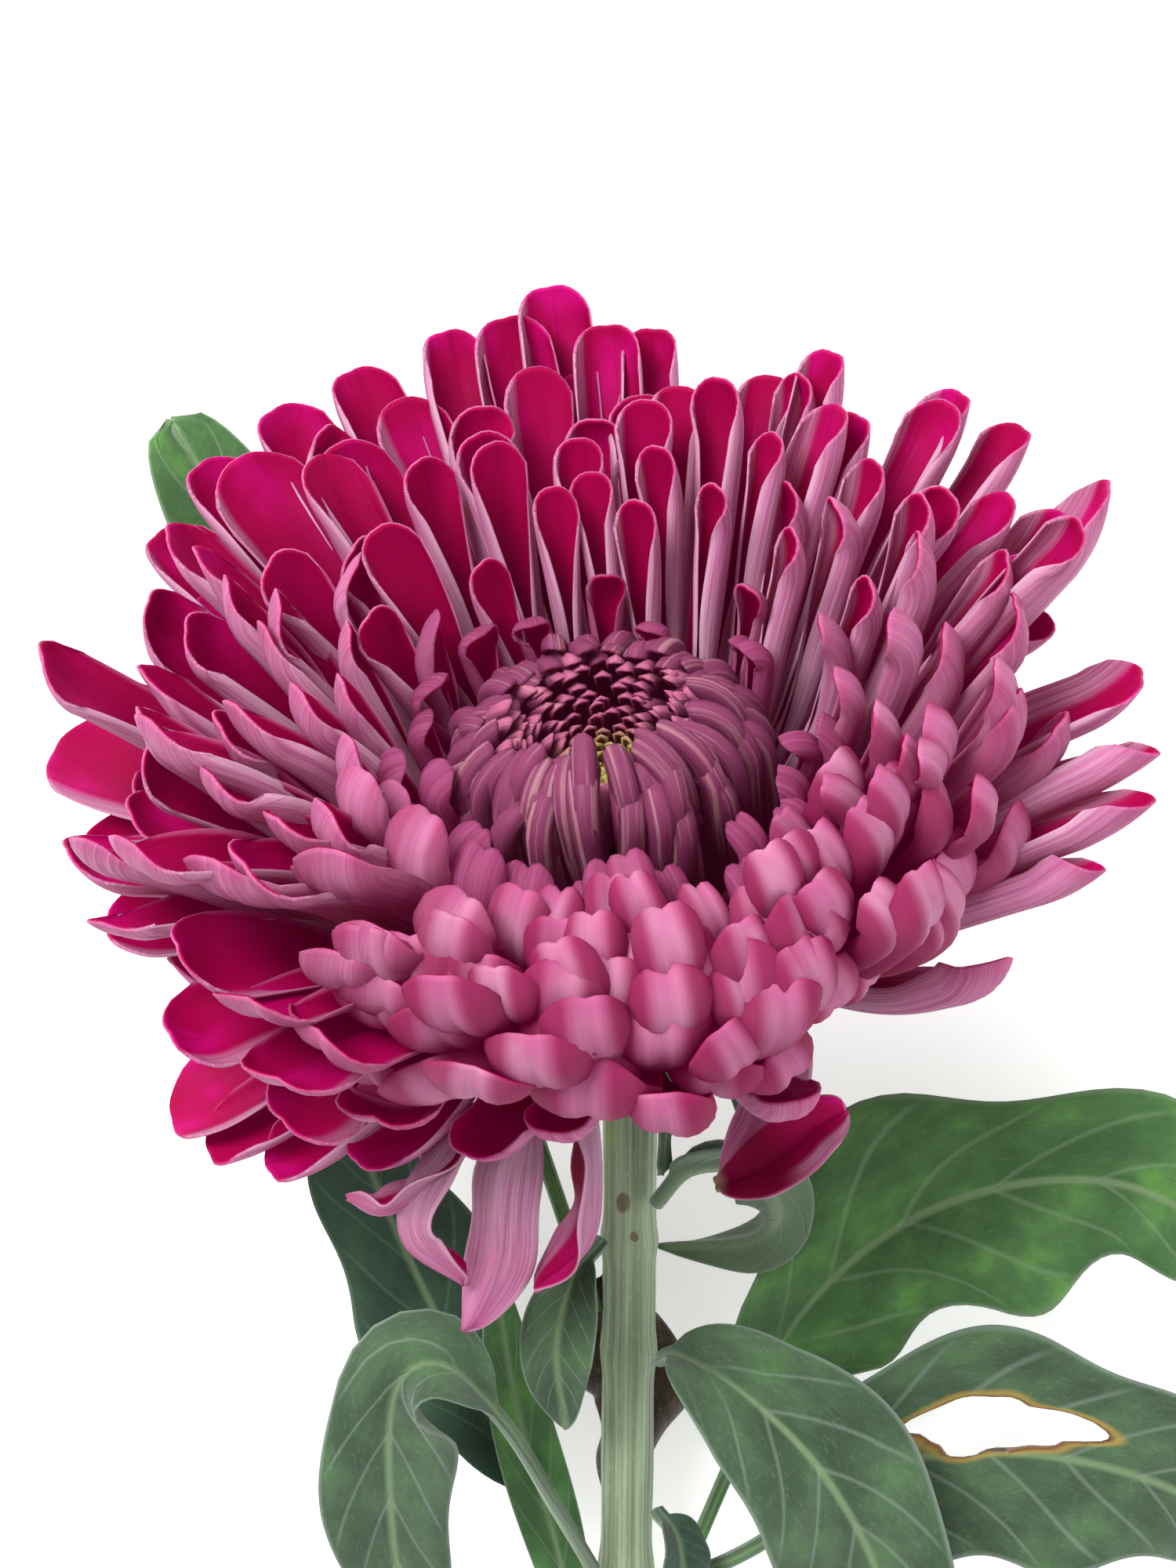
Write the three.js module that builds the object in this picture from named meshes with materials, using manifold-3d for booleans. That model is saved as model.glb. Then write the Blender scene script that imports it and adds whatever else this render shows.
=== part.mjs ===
// A cut chrysanthemum lying on its back: one reflexed bloom on a leafy stem.
//
// The flower is modelled upright and then laid down. Three frames are used:
//   bloom frame   origin at the base plane of the bloom, +Z along the bloom's own axis
//   flower frame  the same origin, +Z up the straight stem, -Y the side that the bloom nods to
//   part frame    +Z up from the surface that the flower lies on, the bloom towards +Y
// Every petal and leaf is a blade: a spine with a folded, tapering section carried along it.

import * as THREE from "three";
import { mergeVertices } from "three/addons/utils/BufferGeometryUtils.js";
import Module from "manifold-3d";

// ---- Driving dimensions, in millimetres and degrees ----
const STEM_RADIUS = 3;
const NECK_RADIUS = 3.6;
const STEM_SLOPE = 12.5; // the laid stem falls towards its cut end
const NOD = 24; // the bloom's axis leans to the upper side when laid
const LEAN = -6; // and a little to the left
const BLOOM_HEIGHT = 44; // bloom origin above the surface
const PETAL_THICKNESS = 0.9;
const LEAF_THICKNESS = 0.9;
const GAP = 0.35; // clearance between neighbouring solids
const REST_ZONE = 6; // petals nearer to the surface than this are pressed flat by the bloom's weight

const RECEPTACLE = { radius: 12.6, top: -1, bottom: -19, neck: 5 };
const BUTTON = { radius: 18.4, foot: 12.5, bottom: -0.6, rim: 16.8, mouth: 11, floor: 8.5, flutes: 15 };
const HEART = { radius: 9.2, thickness: 2.2 };

// Each whorl: how many petals, where they leave the collar, and the shoulder that they reach,
// given as [radius, height, rise] on the far side and on the near side of the bloom.
const WHORLS = [
  { name: "inner_whorl_1", count: 13, width: 5.5,
    foot: [16.4, -1, 60], far: [21.4, 14, 84], near: [22.6, 12.5, 84] },
  { name: "inner_whorl_2", count: 18, width: 7,
    foot: [15.6, -4, 22], far: [34, 18.4, 63], near: [32, 12.5, 68] },
  { name: "middle_whorl_1", count: 23, width: 8,
    foot: [15.2, -6.3, 14], far: [43.5, 21, 53], near: [36.5, 11.5, 63] },
  { name: "middle_whorl_2", count: 26, width: 8.5,
    foot: [14.8, -8.6, 12], far: [49.5, 21.5, 48], near: [41, 8, 60] },
  { name: "outer_whorl_1", count: 26, width: 8.5,
    foot: [14.4, -11, 6], far: [56.5, 14.5, 32], near: [43.5, 2.5, 55] },
  { name: "outer_whorl_2", count: 25, width: 8,
    foot: [14, -13.4, -5], far: [56, -2, 8], near: [39.5, -8, 36] },
];
const DROOPING = { name: "drooping_petal", count: 26, width: 6.5,
  foot: [14.6, -16.2, -22], far: [46, -17, -11], near: [32.5, -17, 10] };
const HOOD = { far: 34, side: 55, near: 88, length: 8.5 };

const rad = THREE.MathUtils.degToRad;
const lerp = THREE.MathUtils.lerp;
const vec = (x, y, z) => new THREE.Vector3(x, y, z);

// ---- Frames ----
const bloomAxis = vec(
  Math.sin(rad(LEAN)),
  -Math.sin(rad(NOD)) * Math.cos(rad(LEAN)),
  Math.cos(rad(NOD)) * Math.cos(rad(LEAN)),
);
const bloomRight = vec(1, 0, 0).addScaledVector(bloomAxis, -bloomAxis.x).normalize();
const bloomBack = bloomAxis.clone().cross(bloomRight);
const bloomToFlower = new THREE.Matrix4().makeBasis(bloomRight, bloomBack, bloomAxis);

const slope = rad(STEM_SLOPE);
const flowerToPart = new THREE.Matrix4()
  .makeBasis(vec(1, 0, 0), vec(0, Math.sin(slope), -Math.cos(slope)), vec(0, Math.cos(slope), Math.sin(slope)))
  .setPosition(0, 0, BLOOM_HEIGHT);
const bloomToPart = flowerToPart.clone().multiply(bloomToFlower);

// The weight of the bloom presses what would pass through the surface into a thin layer above it.
// The map keeps the order of heights, so pieces that were apart stay apart.
function settle(point) {
  if (point.z < REST_ZONE) point.z = REST_ZONE * Math.exp(point.z / REST_ZONE - 1);
  return point;
}

// ---- Solids ----
// A closed skin over rings that all have the same number of points, with a flat end at each end.
function loft(rings) {
  const around = rings[0].length;
  const points = rings.flat();
  const faces = [];
  for (let i = 0; i + 1 < rings.length; i++) {
    for (let j = 0; j < around; j++) {
      const a = i * around + j;
      const b = i * around + ((j + 1) % around);
      faces.push(a, b, b + around, a, b + around, a + around);
    }
  }
  const last = (rings.length - 1) * around;
  for (let j = 1; j + 1 < around; j++) {
    faces.push(0, j + 1, j);
    faces.push(last, last + j, last + j + 1);
  }
  const geometry = new THREE.BufferGeometry().setFromPoints(points);
  geometry.setIndex(faces);
  return geometry;
}

// The section of a blade: two wings folded up from the middle, each ending in an edge.
function bladeSection({ centre, side, face, width, fold, thickness }) {
  const reach = (width / 2) * Math.cos(rad(fold));
  const lift = (width / 2) * Math.sin(rad(fold));
  const at = (x, y) => centre.clone().addScaledVector(side, x).addScaledVector(face, y);
  return [at(-reach, lift), at(0, thickness / 2), at(reach, lift), at(0, -thickness / 2)];
}

const wasm = await Module();
wasm.setup();

function toSolid(geometry) {
  const plain = geometry.clone();
  plain.deleteAttribute("normal");
  plain.deleteAttribute("uv");
  const merged = mergeVertices(plain, 1e-3);
  return new wasm.Manifold(
    new wasm.Mesh({
      numProp: 3,
      vertProperties: merged.attributes.position.array,
      triVerts: new Uint32Array(merged.index.array),
    }),
  );
}

function toGeometry(solid) {
  const mesh = solid.getMesh();
  const geometry = new THREE.BufferGeometry();
  geometry.setAttribute("position", new THREE.BufferAttribute(mesh.vertProperties, 3));
  geometry.setIndex(new THREE.BufferAttribute(mesh.triVerts, 1));
  return geometry;
}

// One solid from many that touch. Pockets that closed between crowded petals are filled, because
// such a pocket is a body of its own that faces inwards, and only the outer body is kept.
function join(geometries) {
  const whole = geometries.map(toSolid).reduce((sum, next) => sum.add(next));
  const bodies = whole.decompose().sort((a, b) => b.volume() - a.volume());
  return toGeometry(bodies[0]);
}

// ---- Petals ----
const PETAL_STATIONS = [0, 0.35, 0.72, 0.88, 1];
const PETAL_WIDTHS = [0.3, 0.5, 1, 0.95, 0.35]; // share of the full width at each station
const PETAL_FOLDS = [35, 42, 34, 28, 20];

// How far a direction belongs to the near side of the bloom, 0 to 1.
const nearness = (azimuth) => THREE.MathUtils.smoothstep(-Math.sin(rad(azimuth)), -0.15, 0.85);

// The spine in the radius and height plane: a Bezier curve from the collar to the shoulder,
// then an arc that turns the tip over into a hood.
function petalSpine(foot, shoulder, hood) {
  const [r0, h0, rise0] = foot;
  const [r1, h1, rise1] = shoulder;
  const handle = 0.38 * Math.hypot(r1 - r0, h1 - h0);
  const reach = new THREE.CubicBezierCurve(
    new THREE.Vector2(r0, h0),
    new THREE.Vector2(r0 + handle * Math.cos(rad(rise0)), h0 + handle * Math.sin(rad(rise0))),
    new THREE.Vector2(r1 - handle * Math.cos(rad(rise1)), h1 - handle * Math.sin(rad(rise1))),
    new THREE.Vector2(r1, h1),
  );
  const bow = HOOD.length / rad(hood); // radius of the hood's arc
  const split = PETAL_STATIONS[2]; // the share of the length where the hood starts
  return PETAL_STATIONS.map((v) => {
    if (v <= split) {
      const point = reach.getPoint(v / split);
      const along = reach.getTangent(v / split);
      return { r: point.x, h: point.y, rise: Math.atan2(along.y, along.x) };
    }
    const turned = rad(rise1) + rad(hood) * ((v - split) / (1 - split));
    return {
      r: r1 + bow * (Math.sin(turned) - Math.sin(rad(rise1))),
      h: h1 - bow * (Math.cos(turned) - Math.cos(rad(rise1))),
      rise: turned,
    };
  });
}

function petal(azimuth, whorl) {
  const near = nearness(azimuth);
  const shoulder = whorl.far.map((value, i) => lerp(value, whorl.near[i], near));
  const sideways = THREE.MathUtils.smoothstep(-Math.sin(rad(azimuth)), -1, 0.2);
  const hood = lerp(lerp(HOOD.far, HOOD.side, sideways), HOOD.near, near);
  const out = vec(Math.cos(rad(azimuth)), Math.sin(rad(azimuth)), 0);
  const side = vec(Math.sin(rad(azimuth)), -Math.cos(rad(azimuth)), 0);
  const rings = petalSpine(whorl.foot, shoulder, hood).map(({ r, h, rise }, i) => {
    const centre = out.clone().multiplyScalar(r).setZ(h);
    const face = out.clone().multiplyScalar(-Math.sin(rise)).setZ(Math.cos(rise));
    const section = bladeSection({
      centre,
      side,
      face,
      width: whorl.width * PETAL_WIDTHS[i],
      fold: PETAL_FOLDS[i],
      thickness: PETAL_THICKNESS,
    });
    return section.map((point) => settle(point.applyMatrix4(bloomToPart)));
  });
  return loft(rings);
}

// The collar that joins the petals of one whorl: a square ring round the receptacle.
function collar([radius, height]) {
  const [inner, outer] = [RECEPTACLE.radius + GAP, radius + 0.9];
  const half = 0.75;
  const profile = [
    new THREE.Vector2(inner, height - half),
    new THREE.Vector2(outer, height - half),
    new THREE.Vector2(outer, height + half),
    new THREE.Vector2(inner, height + half),
    new THREE.Vector2(inner, height - half),
  ];
  return new THREE.LatheGeometry(profile, 20).rotateX(Math.PI / 2).applyMatrix4(bloomToPart);
}

function whorlGeometry(whorl, turn) {
  const petals = [];
  for (let i = 0; i < whorl.count; i++) petals.push(petal(turn + (360 * i) / whorl.count, whorl));
  return join([collar(whorl.foot), ...petals]);
}

// ---- The middle of the bloom ----
const lathe = (points, segments) =>
  new THREE.LatheGeometry(points.map(([r, h]) => new THREE.Vector2(r, h)), segments)
    .rotateX(Math.PI / 2)
    .applyMatrix4(bloomToPart);

function receptacle() {
  const { radius, top, bottom, neck } = RECEPTACLE;
  return lathe([[0, bottom], [neck, bottom], [radius - 2, bottom + 3], [radius, bottom + 5], [radius, top - 2],
    [radius - 3, top], [0, top]], 20);
}

// The button: the closed inner petals, a fluted cushion with a mouth in its top.
function button() {
  const { radius, foot, bottom, rim, mouth, floor, flutes } = BUTTON;
  const profile = [
    [foot - 1, bottom], [foot + 2.5, 3], [radius - 0.9, 7], [radius, 11], [radius - 1.6, 15],
    [radius - 4.4, rim], [mouth + 0.6, rim - 0.4], [mouth, rim - 3], [mouth - 0.8, floor],
  ];
  const steps = flutes * 2;
  const rings = profile.map(([r, h], level) => {
    const depth = level === 0 || level > 6 ? 0 : 0.45;
    return Array.from({ length: steps }, (_, i) => {
      const turn = (2 * Math.PI * i) / steps;
      const bulge = r + (i % 2 ? -depth : depth);
      return vec(bulge * Math.cos(turn), bulge * Math.sin(turn), h).applyMatrix4(bloomToPart);
    });
  });
  return loft(rings);
}

function heart() {
  const { floor } = BUTTON;
  const { radius, thickness } = HEART;
  const low = floor + GAP;
  const top = low + thickness;
  return lathe([[0, low], [radius, low], [radius, low + 0.6], [radius * 0.6, top], [0, top]], 20);
}

// The involucre: overlapping green scales under the petals, joined in a small cup round the neck.
function involucre() {
  const rows = [{ count: 9, reach: 12.4, height: -18.6 }, { count: 7, reach: 10, height: -21 }];
  const scales = rows.flatMap(({ count, reach, height }, row) =>
    Array.from({ length: count }, (_, i) => {
      const azimuth = ((i + row / 2) * 360) / count;
      const out = vec(Math.cos(rad(azimuth)), Math.sin(rad(azimuth)), 0);
      const side = vec(Math.sin(rad(azimuth)), -Math.cos(rad(azimuth)), 0);
      const stations = [[5.2, -1.6, 3], [8, -0.8, 4.4], [reach - 1.4, 0, 3.6], [reach, 0.4, 1]];
      return loft(
        stations.map(([r, lift, width]) =>
          bladeSection({
            centre: out.clone().multiplyScalar(r).setZ(height + lift),
            side, face: vec(0, 0, 1), width, fold: 14, thickness: 0.8,
          }).map((point) => settle(point.applyMatrix4(bloomToPart))),
        ),
      );
    }),
  );
  const cup = lathe([[4.6, -23.4], [6.2, -23], [6.4, -19.6], [4.8, -19.4], [4.6, -23.4]], 16);
  return join([cup, ...scales]);
}

// ---- Stem ----
// The straight stem meets the bloom's axis by a bend in the neck. Its points are in the flower frame.
const neckEnd = bloomAxis.clone().multiplyScalar(RECEPTACLE.bottom - GAP);
const STEM_OFFSET = vec(1.6, neckEnd.y + 2.4, 0);
const heightOf = (point) => point.clone().applyMatrix4(flowerToPart).z;

function stemCurve(restHeight) {
  const drop = heightOf(STEM_OFFSET) - restHeight - STEM_RADIUS * Math.cos(slope);
  const length = drop / Math.sin(slope);
  const down = (z) => vec(STEM_OFFSET.x * (1 + z / (2 * length)), STEM_OFFSET.y, z);
  return new THREE.CatmullRomCurve3([
    neckEnd, neckEnd.clone().addScaledVector(bloomAxis, -5), down(-32), down(-50), down(-80), down(-115),
    down(-length),
  ]);
}

function stem(restHeight) {
  const curve = stemCurve(restHeight);
  const stations = [0, 0.03, 0.07, 0.12, 0.2, 0.4, 0.7, 1];
  const rings = stations.map((v) => {
    const centre = curve.getPointAt(v);
    const along = curve.getTangentAt(v);
    const side = vec(1, 0, 0).addScaledVector(along, -along.x).normalize();
    const face = along.clone().cross(side);
    const radius = lerp(NECK_RADIUS, STEM_RADIUS, Math.min(1, v / 0.12));
    return Array.from({ length: 16 }, (_, i) => {
      const turn = (2 * Math.PI * i) / 16;
      return centre.clone()
        .addScaledVector(side, radius * Math.cos(turn))
        .addScaledVector(face, radius * Math.sin(turn))
        .applyMatrix4(flowerToPart);
    });
  });
  return loft(rings);
}

// ---- Leaves ----
// Each leaf: its spine in the flower frame, the way its upper face looks at the foot and at the tip,
// its width, the part of its length that is stalk, and the fold of its wings.
const LEAVES = [
  { name: "leaf_front_right",
    spine: [[5.4, 3.6, -66], [12, -3, -63], [22, -8, -70], [31, -8, -86], [35, -4, -108]],
    faces: [[0, -1, 1], [-0.3, -1, 0.3]], width: 20, stalk: 0.12 },
  { name: "leaf_right_torn",
    spine: [[5.6, 5.4, -94], [16, 3, -87], [29, 3, -76], [46, 2, -73], [64, 3, -79], [78, 6, -92]],
    faces: [[0, -1, 0.5], [0, -1, 0.3]], width: 27, stalk: 0.3 },
  { name: "leaf_right_high",
    spine: [[5.4, 9, -104], [13, 13, -84], [22, 14, -64], [39, 13, -47], [60, 11, -44], [80, 12, -58]],
    faces: [[0.3, -1, 0.2], [0, -1, 0.4]], width: 26, stalk: 0.28 },
  { name: "leaf_left_arched",
    spine: [[-3.4, 5, -92], [-8, -1, -80], [-14, -5, -67], [-20.5, -7, -59.5], [-26, -5, -64],
      [-26.5, -2, -84], [-24, 3, -108]],
    faces: [[0, -0.3, 1], [-0.3, -1, 0]], width: 16, stalk: 0.34 },
  { name: "leaf_left_shaded",
    spine: [[-3.2, 9.4, -98], [-14, 13, -80], [-25, 15, -60], [-33, 16, -42], [-38, 17, -30]],
    faces: [[0, -1, 0.2], [0, -1, 0.2]], width: 17, stalk: 0.2 },
  { name: "leaf_behind_bloom",
    spine: [[-3, 10.5, -60], [-16, 27, -42], [-34, 40, -14], [-47, 46.5, 10], [-54, 48, 32]],
    faces: [[0, -1, 0.4], [0.2, -1, 0.3]], width: 13, stalk: 0.25 },
  { name: "leaf_strap",
    spine: [[-3.2, 7, -112], [-7, 8.5, -92], [-12, 9.5, -72], [-15, 10, -54]],
    faces: [[0.2, -1, 0], [0.2, -1, 0]], width: 7, stalk: 0.1 },
  { name: "bract_hanging",
    spine: [[-2.6, 3.6, -50], [-6, 0, -53], [-7.4, -1, -60], [-6.4, 0, -70]],
    faces: [[0, -1, 0.3], [0, -1, 0]], width: 8, stalk: 0.15 },
  { name: "bract_curled",
    spine: [[5.4, 5.6, -44], [9.5, 3, -38.6], [15, 2, -40], [18, 5, -47], [15.4, 9.6, -52.4],
      [8.6, 11.6, -54]],
    faces: [[0, 0, 1], [0, 0.3, -1]], width: 7.5, stalk: 0.12 },
  { name: "bract_thin",
    spine: [[7.8, 8.8, -23.4], [12.4, 6, -25], [14, 3, -31], [16.4, 2, -38]],
    faces: [[0, -1, 1], [0.5, -1, 0]], width: 2.6, stalk: 0.1 },
  { name: "bract_sliver",
    spine: [[6, 6.2, -27], [6.2, 5, -33], [6, 4.6, -41]],
    faces: [[1, -1, 0], [1, -1, 0]], width: 2, stalk: 0.1 },
  { name: "leaf_withered",
    spine: [[0, 14.6, -57], [-3, 16.2, -64], [2, 16.8, -74], [-1, 16, -86]],
    faces: [[0, -1, 0], [0.3, -1, 0]], width: 9, stalk: 0.1 },
  { name: "leaf_bud",
    spine: [[5.6, 2.6, -84], [7.5, 0, -87], [8, -1, -93]],
    faces: [[1, -1, 0], [0.6, -1, 0]], width: 5, stalk: 0.1 },
];

function leaf({ spine, faces, width, stalk }) {
  const curve = new THREE.CatmullRomCurve3(spine.map((point) => vec(...point)));
  const count = spine.length > 4 ? 9 : 6;
  const [foot, tip] = faces.map((face) => vec(...face).normalize());
  const rings = Array.from({ length: count }, (_, i) => {
    const v = i / (count - 1);
    const along = curve.getTangentAt(v);
    const hint = foot.clone().lerp(tip, v);
    const side = along.clone().cross(hint).normalize();
    const face = side.clone().cross(along);
    const blade = THREE.MathUtils.clamp((v - stalk) / (1 - stalk), 0, 1);
    const swell = Math.sin(Math.PI * blade ** 0.75) ** 0.8;
    return bladeSection({
      centre: curve.getPointAt(v),
      side,
      face,
      width: Math.max(1.6, width * swell),
      fold: lerp(40, 14, Math.min(1, blade * 3)),
      thickness: LEAF_THICKNESS * (v === 1 ? 0.6 : 1),
    }).map((point) => settle(point.applyMatrix4(flowerToPart)));
  });
  return loft(rings);
}

// ---- Finishes ----
const finish = (color, roughness) => new THREE.MeshStandardMaterial({ color, roughness, metalness: 0 });
const crimson = finish("#a0013b", 0.5);
const rose = finish("#cb749f", 0.55);
const plum = finish("#8c4468", 0.55);
const moss = finish("#7d7a4a", 0.6);
const leafGreen = finish("#6e8372", 0.65);
const stemGreen = finish("#879a80", 0.6);
const witheredBrown = finish("#5b4633", 0.8);

// ---- Assembly ----
const flower = new THREE.Group();
function place(name, geometry, material) {
  const mesh = new THREE.Mesh(geometry, material);
  mesh.name = name;
  flower.add(mesh);
  return mesh;
}

WHORLS.forEach((whorl, i) => place(whorl.name, whorlGeometry(whorl, 7 * i), i < 4 ? crimson : rose));
for (let i = 0; i < DROOPING.count; i++) {
  const name = `${DROOPING.name}_${String(i + 1).padStart(2, "0")}`;
  place(name, petal((360 * i) / DROOPING.count, DROOPING), rose);
}
const restHeight = new THREE.Box3().setFromObject(flower).min.z;

place("button", button(), plum);
place("heart", heart(), moss);
place("receptacle", receptacle(), stemGreen);
place("involucre", involucre(), stemGreen);
place("stem", stem(restHeight), stemGreen);
for (const each of LEAVES) {
  place(each.name, leaf(each), each.name === "leaf_withered" ? witheredBrown : leafGreen);
}

// The part's origin is under the middle of the laid flower, on the surface.
const box = new THREE.Box3().setFromObject(flower);
const middle = box.getCenter(new THREE.Vector3());
flower.position.set(-middle.x, -middle.y, -box.min.z);

export default flower;
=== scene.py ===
# %% [markdown]
# # A cut chrysanthemum, laid on its back
#
# The flower is one large bloom on a leafy stem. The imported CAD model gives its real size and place. This
# lesson grows the visible flower around that frame: every petal is a curved shell worked out with numpy,
# and the leaves, the stem and the bracts follow the same idea. The lengths below are in millimetres until
# the last step.

import bpy
import numpy as np
from mathutils import Matrix, Vector


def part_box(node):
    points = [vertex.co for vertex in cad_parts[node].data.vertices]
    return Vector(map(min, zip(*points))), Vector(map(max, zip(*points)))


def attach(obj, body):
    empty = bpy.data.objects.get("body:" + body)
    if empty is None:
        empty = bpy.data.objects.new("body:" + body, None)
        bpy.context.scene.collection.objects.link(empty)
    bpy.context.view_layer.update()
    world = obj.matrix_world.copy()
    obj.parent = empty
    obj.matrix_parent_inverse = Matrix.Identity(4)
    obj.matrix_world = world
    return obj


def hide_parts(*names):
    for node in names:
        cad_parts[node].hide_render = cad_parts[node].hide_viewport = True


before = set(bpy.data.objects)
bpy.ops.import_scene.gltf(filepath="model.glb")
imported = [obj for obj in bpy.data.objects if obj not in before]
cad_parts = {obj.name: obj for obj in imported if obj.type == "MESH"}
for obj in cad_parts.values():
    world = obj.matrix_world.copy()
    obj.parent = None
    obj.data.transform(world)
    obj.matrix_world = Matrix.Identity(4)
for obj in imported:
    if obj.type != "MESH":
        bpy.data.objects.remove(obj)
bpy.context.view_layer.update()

MM = 0.001
scene = bpy.context.scene

# %% [markdown]
# The flower is easiest to describe as it grew. In the bloom's own frame +Z is the bloom's axis, so a petal
# only needs an azimuth, a radius and a height. In the flower frame +Z is the straight stem, and the bloom
# nods away from it. Laying the flower down turns the flower frame back onto the table. The heart is a flat
# disc in the CAD model, so the middle of its box says exactly where the bloom's origin lies.

# %% The three frames
NOD, LEAN, STEM_SLOPE = 24, -6, 12.5  # degrees
BLOOM_HEIGHT = 44
HEART_MIDDLE = 9.15  # height of the CAD heart's middle above the bloom's origin
REST_ZONE = 6


def unit(v):
    """A vector, or an array of them, made one long."""
    return v / np.maximum(np.linalg.norm(v, axis=-1, keepdims=True), 1e-9)


def turn(degrees):
    """Cosine and sine of an angle in degrees."""
    return np.cos(np.radians(degrees)), np.sin(np.radians(degrees))


(cos_nod, sin_nod), (cos_lean, sin_lean) = turn(NOD), turn(LEAN)
cos_slope, sin_slope = turn(STEM_SLOPE)
bloom_axis = np.array([sin_lean, -sin_nod * cos_lean, cos_nod * cos_lean])
bloom_right = unit(np.array([1.0, 0, 0]) - bloom_axis[0] * bloom_axis)
bloom_rows = np.array([bloom_right, np.cross(bloom_axis, bloom_right), bloom_axis])
laid_rows = np.array([[1, 0, 0], [0, sin_slope, -cos_slope], [0, cos_slope, sin_slope]])

heart_low, heart_high = (np.array(corner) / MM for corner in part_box("heart"))
shift = (heart_low + heart_high) / 2 - bloom_axis @ laid_rows * HEART_MIDDLE - [0, 0, BLOOM_HEIGHT]


def settle(laid):
    """Heights z below the rest zone become zone * exp(z / zone - 1), so nothing passes through the table."""
    z = laid[..., 2]
    low = REST_ZONE * np.exp(np.minimum(z, REST_ZONE) / REST_ZONE - 1)
    return np.concatenate([laid[..., :2], np.where(z < REST_ZONE, low, z)[..., None]], axis=-1)


def from_flower(points):
    """Points of the flower frame, carried to the part frame."""
    return settle(np.asarray(points) @ laid_rows + [0, 0, BLOOM_HEIGHT]) + shift


def from_bloom(points):
    """Points of the bloom frame, carried to the part frame."""
    return from_flower(np.asarray(points) @ bloom_rows)


print("bloom origin in the part frame:", np.round(shift + [0, 0, BLOOM_HEIGHT], 2))

# %% [markdown]
# A petal or a leaf is a thin living sheet. It could be a plane with a Solidify modifier, but then the two
# faces could not carry different colours. Here each sheet is a grid of points that is thickened along its
# own normals into a closed shell, and each point keeps where it is on the sheet: across, along, and
# whether it is on the inner face. The materials paint veins and margins from that.

# %% Closed shells from grids
def smooth(low, high, x):
    """A soft step from 0 at low to 1 at high, which may also be the lower of the two."""
    t = np.clip((x - low) / (high - low), 0, 1)
    return t * t * (3 - 2 * t)


def blend(low, high, share):
    """Straight mixing of two values."""
    return low + (high - low) * share


def sheet_normals(grid):
    """Normals of grids shaped (count, along, across, 3): the cross product of the grid's two directions."""
    return unit(np.cross(np.gradient(grid, axis=1), np.gradient(grid, axis=2)))


def shell(grid, half):
    """Two faces at plus and minus half a thickness from each sheet, as rings that run round its section."""
    normals = sheet_normals(grid) * half[..., None]
    return np.concatenate([grid + normals, (grid - normals)[:, :, ::-1]], axis=2)


def ring_walls(rows, around):
    """Quads between neighbouring rings of points, each corner found from its ring and its place in it."""
    i, j = np.meshgrid(np.arange(rows - 1), np.arange(around), indexing="ij")
    here, beyond, k = i * around, (i + 1) * around, (j + 1) % around
    return np.stack([here + j, beyond + j, beyond + k, here + k], -1).reshape(-1, 4)


def shell_faces(count, along, around):
    """Quads of count shells: walls between their rings, and a strip of quads that closes each end."""
    walls = ring_walls(along, around)
    j = np.arange(around // 2 - 1)
    start = np.stack([j, j + 1, around - 2 - j, around - 1 - j], -1)
    end = start[:, ::-1] + (along - 1) * around
    one = np.concatenate([walls, start, end])
    return (one[None] + np.arange(count)[:, None, None] * along * around).reshape(-1, 4)


def add_piece(name, points, faces, material, stands_for=(), marks=None):
    """A mesh object from points in millimetres and quads, with its named vectors, riding on the part."""
    mesh = bpy.data.meshes.new(name)
    mesh.vertices.add(len(points))
    mesh.vertices.foreach_set("co", (points * MM).astype(np.float32).ravel())
    mesh.loops.add(faces.size)
    mesh.loops.foreach_set("vertex_index", faces.astype(np.int32).ravel())
    mesh.polygons.add(len(faces))
    mesh.polygons.foreach_set("loop_start", np.arange(0, faces.size, faces.shape[1], dtype=np.int32))
    mesh.polygons.foreach_set("use_smooth", np.ones(len(faces), bool))
    for mark, values in (marks or {}).items():
        attribute = mesh.attributes.new(mark, "FLOAT_VECTOR", "POINT")
        attribute.data.foreach_set("vector", values.astype(np.float32).ravel())
    mesh.materials.append(material)
    mesh.update(calc_edges=True)
    mesh.validate()
    piece = bpy.data.objects.new(name, mesh)
    scene.collection.objects.link(piece)
    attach(piece, "root")
    if stands_for:
        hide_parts(*stands_for)
    return piece


def volume(points, faces):
    """Signed volume of closed quads, positive when the faces look out."""
    a, b, c, d = (points[faces[:, n]] for n in range(4))
    return float((np.cross(a, b) * c).sum() + (np.cross(a, c) * d).sum()) / 6


print("a shell of a 3 by 3 grid has", len(shell_faces(1, 3, 6)), "quads")

# %% [markdown]
# A ray petal of a chrysanthemum starts as a narrow quill, opens like a spoon and turns its tip over into a
# hood. Its spine is a Bezier curve from the receptacle to a shoulder, followed by an arc. Its section is
# rolled: the direction of the section turns by a cup angle from the middle to the margin, so a large angle
# closes it into a tube and a small one leaves it flat. The end is rounded by shortening the rows towards
# the margins, with a small notch in the middle.

# %% The petal surface
HOOD_START = 0.76  # share of the length where the hood begins
ROLL_STEPS = 8  # samples of the integral that rolls the section
PLAIN = dict(notch=0, bend=0, yaw=0, twist=0, screw=0, near=0)


def columns(p):
    """Petal values as arrays shaped (petals, 1, 1), with plain ones for what isn't given."""
    count = len(p["azimuth"])
    full = {key: np.broadcast_to(np.asarray(value, float), (count,)) for key, value in {**PLAIN, **p}.items()}
    return {key: value[:, None, None] for key, value in full.items()}


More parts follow.
